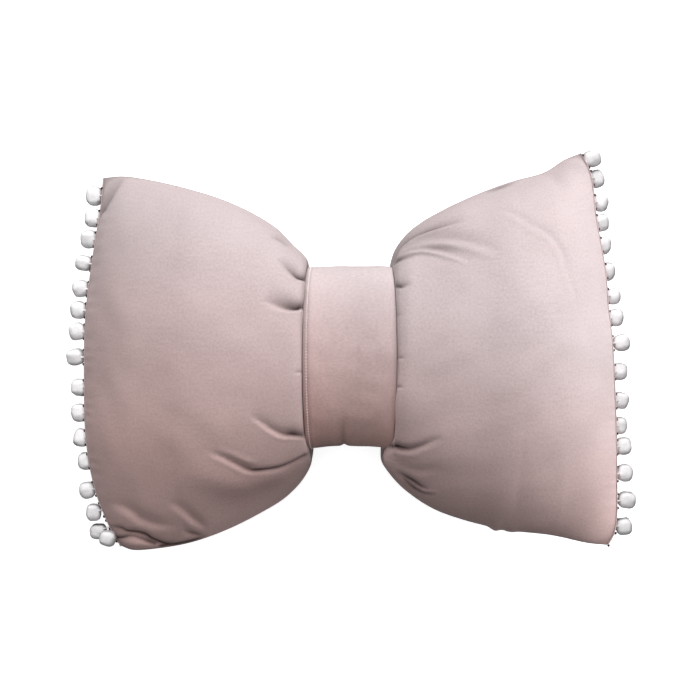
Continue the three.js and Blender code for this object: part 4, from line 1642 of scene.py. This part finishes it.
    def tubes(self, path: Array, across: Array, up: Array) -> MeshParts:
        """Closed tubes of round-cornered section, one along each path.

        The section is a superellipse: the cosine and sine of a turn, each to a power.

        Args:
            path: Paths' points: tubes, then stations.
            across: The section's first half axis at each station.
            up: Its second half axis.

        Returns:
            The mesh.
        """
        turn = round_turn(self.sides)
        cos, sin = (
            (np.sign(part) * np.abs(part) ** self.section_power)[:, None]
            for part in (np.cos(turn), np.sin(turn))
        )
        rings = path[:, :, None] + across[:, :, None] * cos + up[:, :, None] * sin
        index = numbered(path.shape[1], self.sides)
        last = self.sides - 1
        rungs = np.array([[k, k + 1, last - 1 - k, last - k] for k in range(self.sides // 2 - 1)])
        walls = grid_quads(index, close_columns=True)[:, ::-1]
        return repeated(rings, np.vstack([walls, index[0][rungs][:, ::-1], index[-1][rungs]]))

    def tape(self) -> MeshParts:
        """The tape along the seam."""
        line, outward = self.seam_line(self.tape_points)
        path = line + outward * (self.tape_depth / 2 - self.tape_inset)
        up = np.zeros_like(path)
        up[:, 2] = self.tape_half_height * self.wing.side.value
        return self.tubes(path[None], (outward * self.tape_depth / 2)[None], up[None])

    def stems(self) -> MeshParts:
        """The stems from the tape to the pompoms' middles."""
        starts, middles = self.centres()
        share = np.linspace(0, 1, self.stem_points)[None, :, None]
        path = mix(starts[:, None], middles[:, None], share)
        direction = unit(middles - starts)
        side = unit(np.cross(direction, [0, 1, 0.02]))
        over = np.cross(direction, side)
        across = np.broadcast_to(side[:, None] * self.stem_radius, path.shape)
        up = np.broadcast_to(over[:, None] * self.stem_radius, path.shape)
        return self.tubes(path, across, up)

    def shadow_spots(self) -> MeshParts:
        """Two dark spots of painted shadow to each pompom, over and under the place where it meets
        the tape.
        """
        reach, half, radius = self.shadow_spot
        seam, outward = self.seam_frames()
        along = unit(np.cross(outward, (0, 0, 1.0)))
        middles = seam + outward * self.tape_depth
        both = np.vstack([middles - along * reach, middles + along * reach])
        run = np.vstack([along, along]) * half
        return Strand(both, run, np.broadcast_to([0.0, 0.0, 1.0], both.shape), radius).mesh()

    def build(self) -> list[Piece]:
        """Makes the trim's four pieces.

        Returns:
            The pompoms, their stems, the tape and the knots.
        """
        side = self.wing.side.name.lower()
        made = (
            (self.pompoms(), "pompoms", self.yarn, "pompom_yarn"),
            (self.stems(), "trim_stems", self.yarn, "pompom_yarn"),
            (self.tape(), "trim_tape", self.weave, "velvet"),
            (self.shadow_spots(), "trim_shadow_spots", self.thread, "pompom_yarn"),
        )
        pieces = []
        for mesh, name, finish, slot in made:
            piece = mesh.piece(f"{name}_{side}", finish.material())
            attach(piece, "root")
            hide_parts(self.node)
            pieces.append(piece)
        return pieces


# The studio


@dataclass(frozen=True)
class Lamp:
    """A square soft box that faces the middle of the pillow.

    Attributes:
        name: Its name.
        place: Where it stands.
        size: Length of its sides.
        power: Its power in watts.
    """

    name: str
    place: Point
    size: float
    power: float

    def build(self) -> Piece:
        """Makes the lamp.

        Returns:
            The lamp's object.
        """
        light = bpy.data.lights.new(self.name, "AREA")
        light.energy = self.power
        light.size = self.size * MM
        lamp = bpy.data.objects.new(self.name, light)
        lamp.visible_camera = False
        lamp.location = np.array(self.place) * MM
        lamp.rotation_euler = (-Vector(self.place)).to_track_quat("-Z", "Y").to_euler()
        bpy.context.scene.collection.objects.link(lamp)
        return lamp


@dataclass(frozen=True)
class Studio:
    """Camera, soft light and paper floor.

    Attributes:
        eye: The camera's place, straight over the pillow.
        view_angle: Its angle of view in degrees.
        lamps: The lamps.
        sky_strength: Strength of the white light from all round.
        floor_size: Length of the floor's sides.
        floor_cuts: Points along them.
        floor_drop: How far the floor is under the pillow.
        edge_rise: How far its edge turns up.
        edge_reach: Between which shares of its half size it does.
        paper: Its finish.
    """

    eye: Point = (-0.6, 0.8, 1216)
    view_angle: float = 32.04
    lamps: Sequence[Lamp] = (
        Lamp("key", (-130, 1850, 1200), 1500, 64),
        Lamp("over", (0, 0, 2300), 1500, 18),
        Lamp("side", (900, 80, 300), 500, 7.2),
        Lamp("fill", (-1000, -750, 500), 500, 1.5),
    )
    sky_strength: float = 0.02
    floor_size: float = 6000
    floor_cuts: int = 41
    floor_drop: float = 0.2
    edge_rise: float = 120
    edge_reach: Plan = (0.8, 1.3)
    paper: Paper = Paper()

    def camera(self) -> None:
        """Makes the camera, which looks straight down with +Y up the picture."""
        data = bpy.data.cameras.new("camera")
        data.angle = math.radians(self.view_angle)
        camera = bpy.data.objects.new("camera", data)
        camera.location = np.array(self.eye) * MM
        bpy.context.scene.collection.objects.link(camera)
        bpy.context.scene.camera = camera

    def light(self) -> dict[str, Piece]:
        """Makes the lamps and the light from all round, and shows colours as they are.

        Returns:
            The lamps by name.
        """
        world = bpy.data.worlds.new("studio")
        world.use_nodes = True
        background = world.node_tree.nodes["Background"]
        background.inputs["Color"].default_value = (1, 1, 1, 1)
        background.inputs["Strength"].default_value = self.sky_strength
        bpy.context.scene.world = world
        bpy.context.scene.view_settings.view_transform = "Standard"
        return {lamp.name: lamp.build() for lamp in self.lamps}

    @staticmethod
    def flag(lamp: Piece, pieces: Sequence[Piece]) -> None:
        """Keeps a lamp's light off pieces, as a card held up beside them does.

        Args:
            lamp: The lamp.
            pieces: The pieces.
        """
        shaded = bpy.data.collections.new(f"{lamp.name}_flag")
        lamp.light_linking.receiver_collection = shaded
        for piece in pieces:
            shaded.objects.link(piece)
        for entry in shaded.collection_objects:
            entry.light_linking.link_state = "EXCLUDE"

    def floor(self) -> None:
        """Makes the paper floor, whose upturned edge is far outside the view.

        It gives no light back, so the undersides stay dark against it.
        """
        half = self.floor_size / 2
        places = np.linspace(-1, 1, self.floor_cuts) * half
        x, y = np.meshgrid(places, places, indexing="ij")
        start, stop = (half * share for share in self.edge_reach)
        z = self.edge_rise * smooth_step(np.hypot(x, y), start, stop) - self.floor_drop
        points = np.stack([x, y, z], axis=-1).reshape(-1, 3)
        mesh = MeshParts(points, grid_quads(numbered(*x.shape)))
        floor = mesh.piece("studio_floor", self.paper.material())
        floor.visible_diffuse = False


def report(piece: Piece) -> None:
    """Logs a piece's name and how many faces it has."""
    log.info("%s: %d faces", piece.name, len(piece.data.polygons))


def main() -> None:
    """Builds the studio and the pillow, in order."""
    studio = Studio()
    studio.camera()
    lamps = studio.light()
    studio.floor()
    cushion = BowCushion().build()
    report(cushion)
    centre = CentreBand()
    band, stitches = centre.build()
    report(band)
    report(stitches)
    white = []
    for wing, poms in ((LEFT_WING, LEFT_POMS), (RIGHT_WING, RIGHT_POMS)):
        trim = PompomTrim(wing, poms, f"pompom_trim_{wing.side.name.lower()}").build()
        for piece in trim:
            report(piece)
        white += trim[:2]
    for name in ("side", "fill"):
        studio.flag(lamps[name], white)


if __name__ == "__main__":
    main()
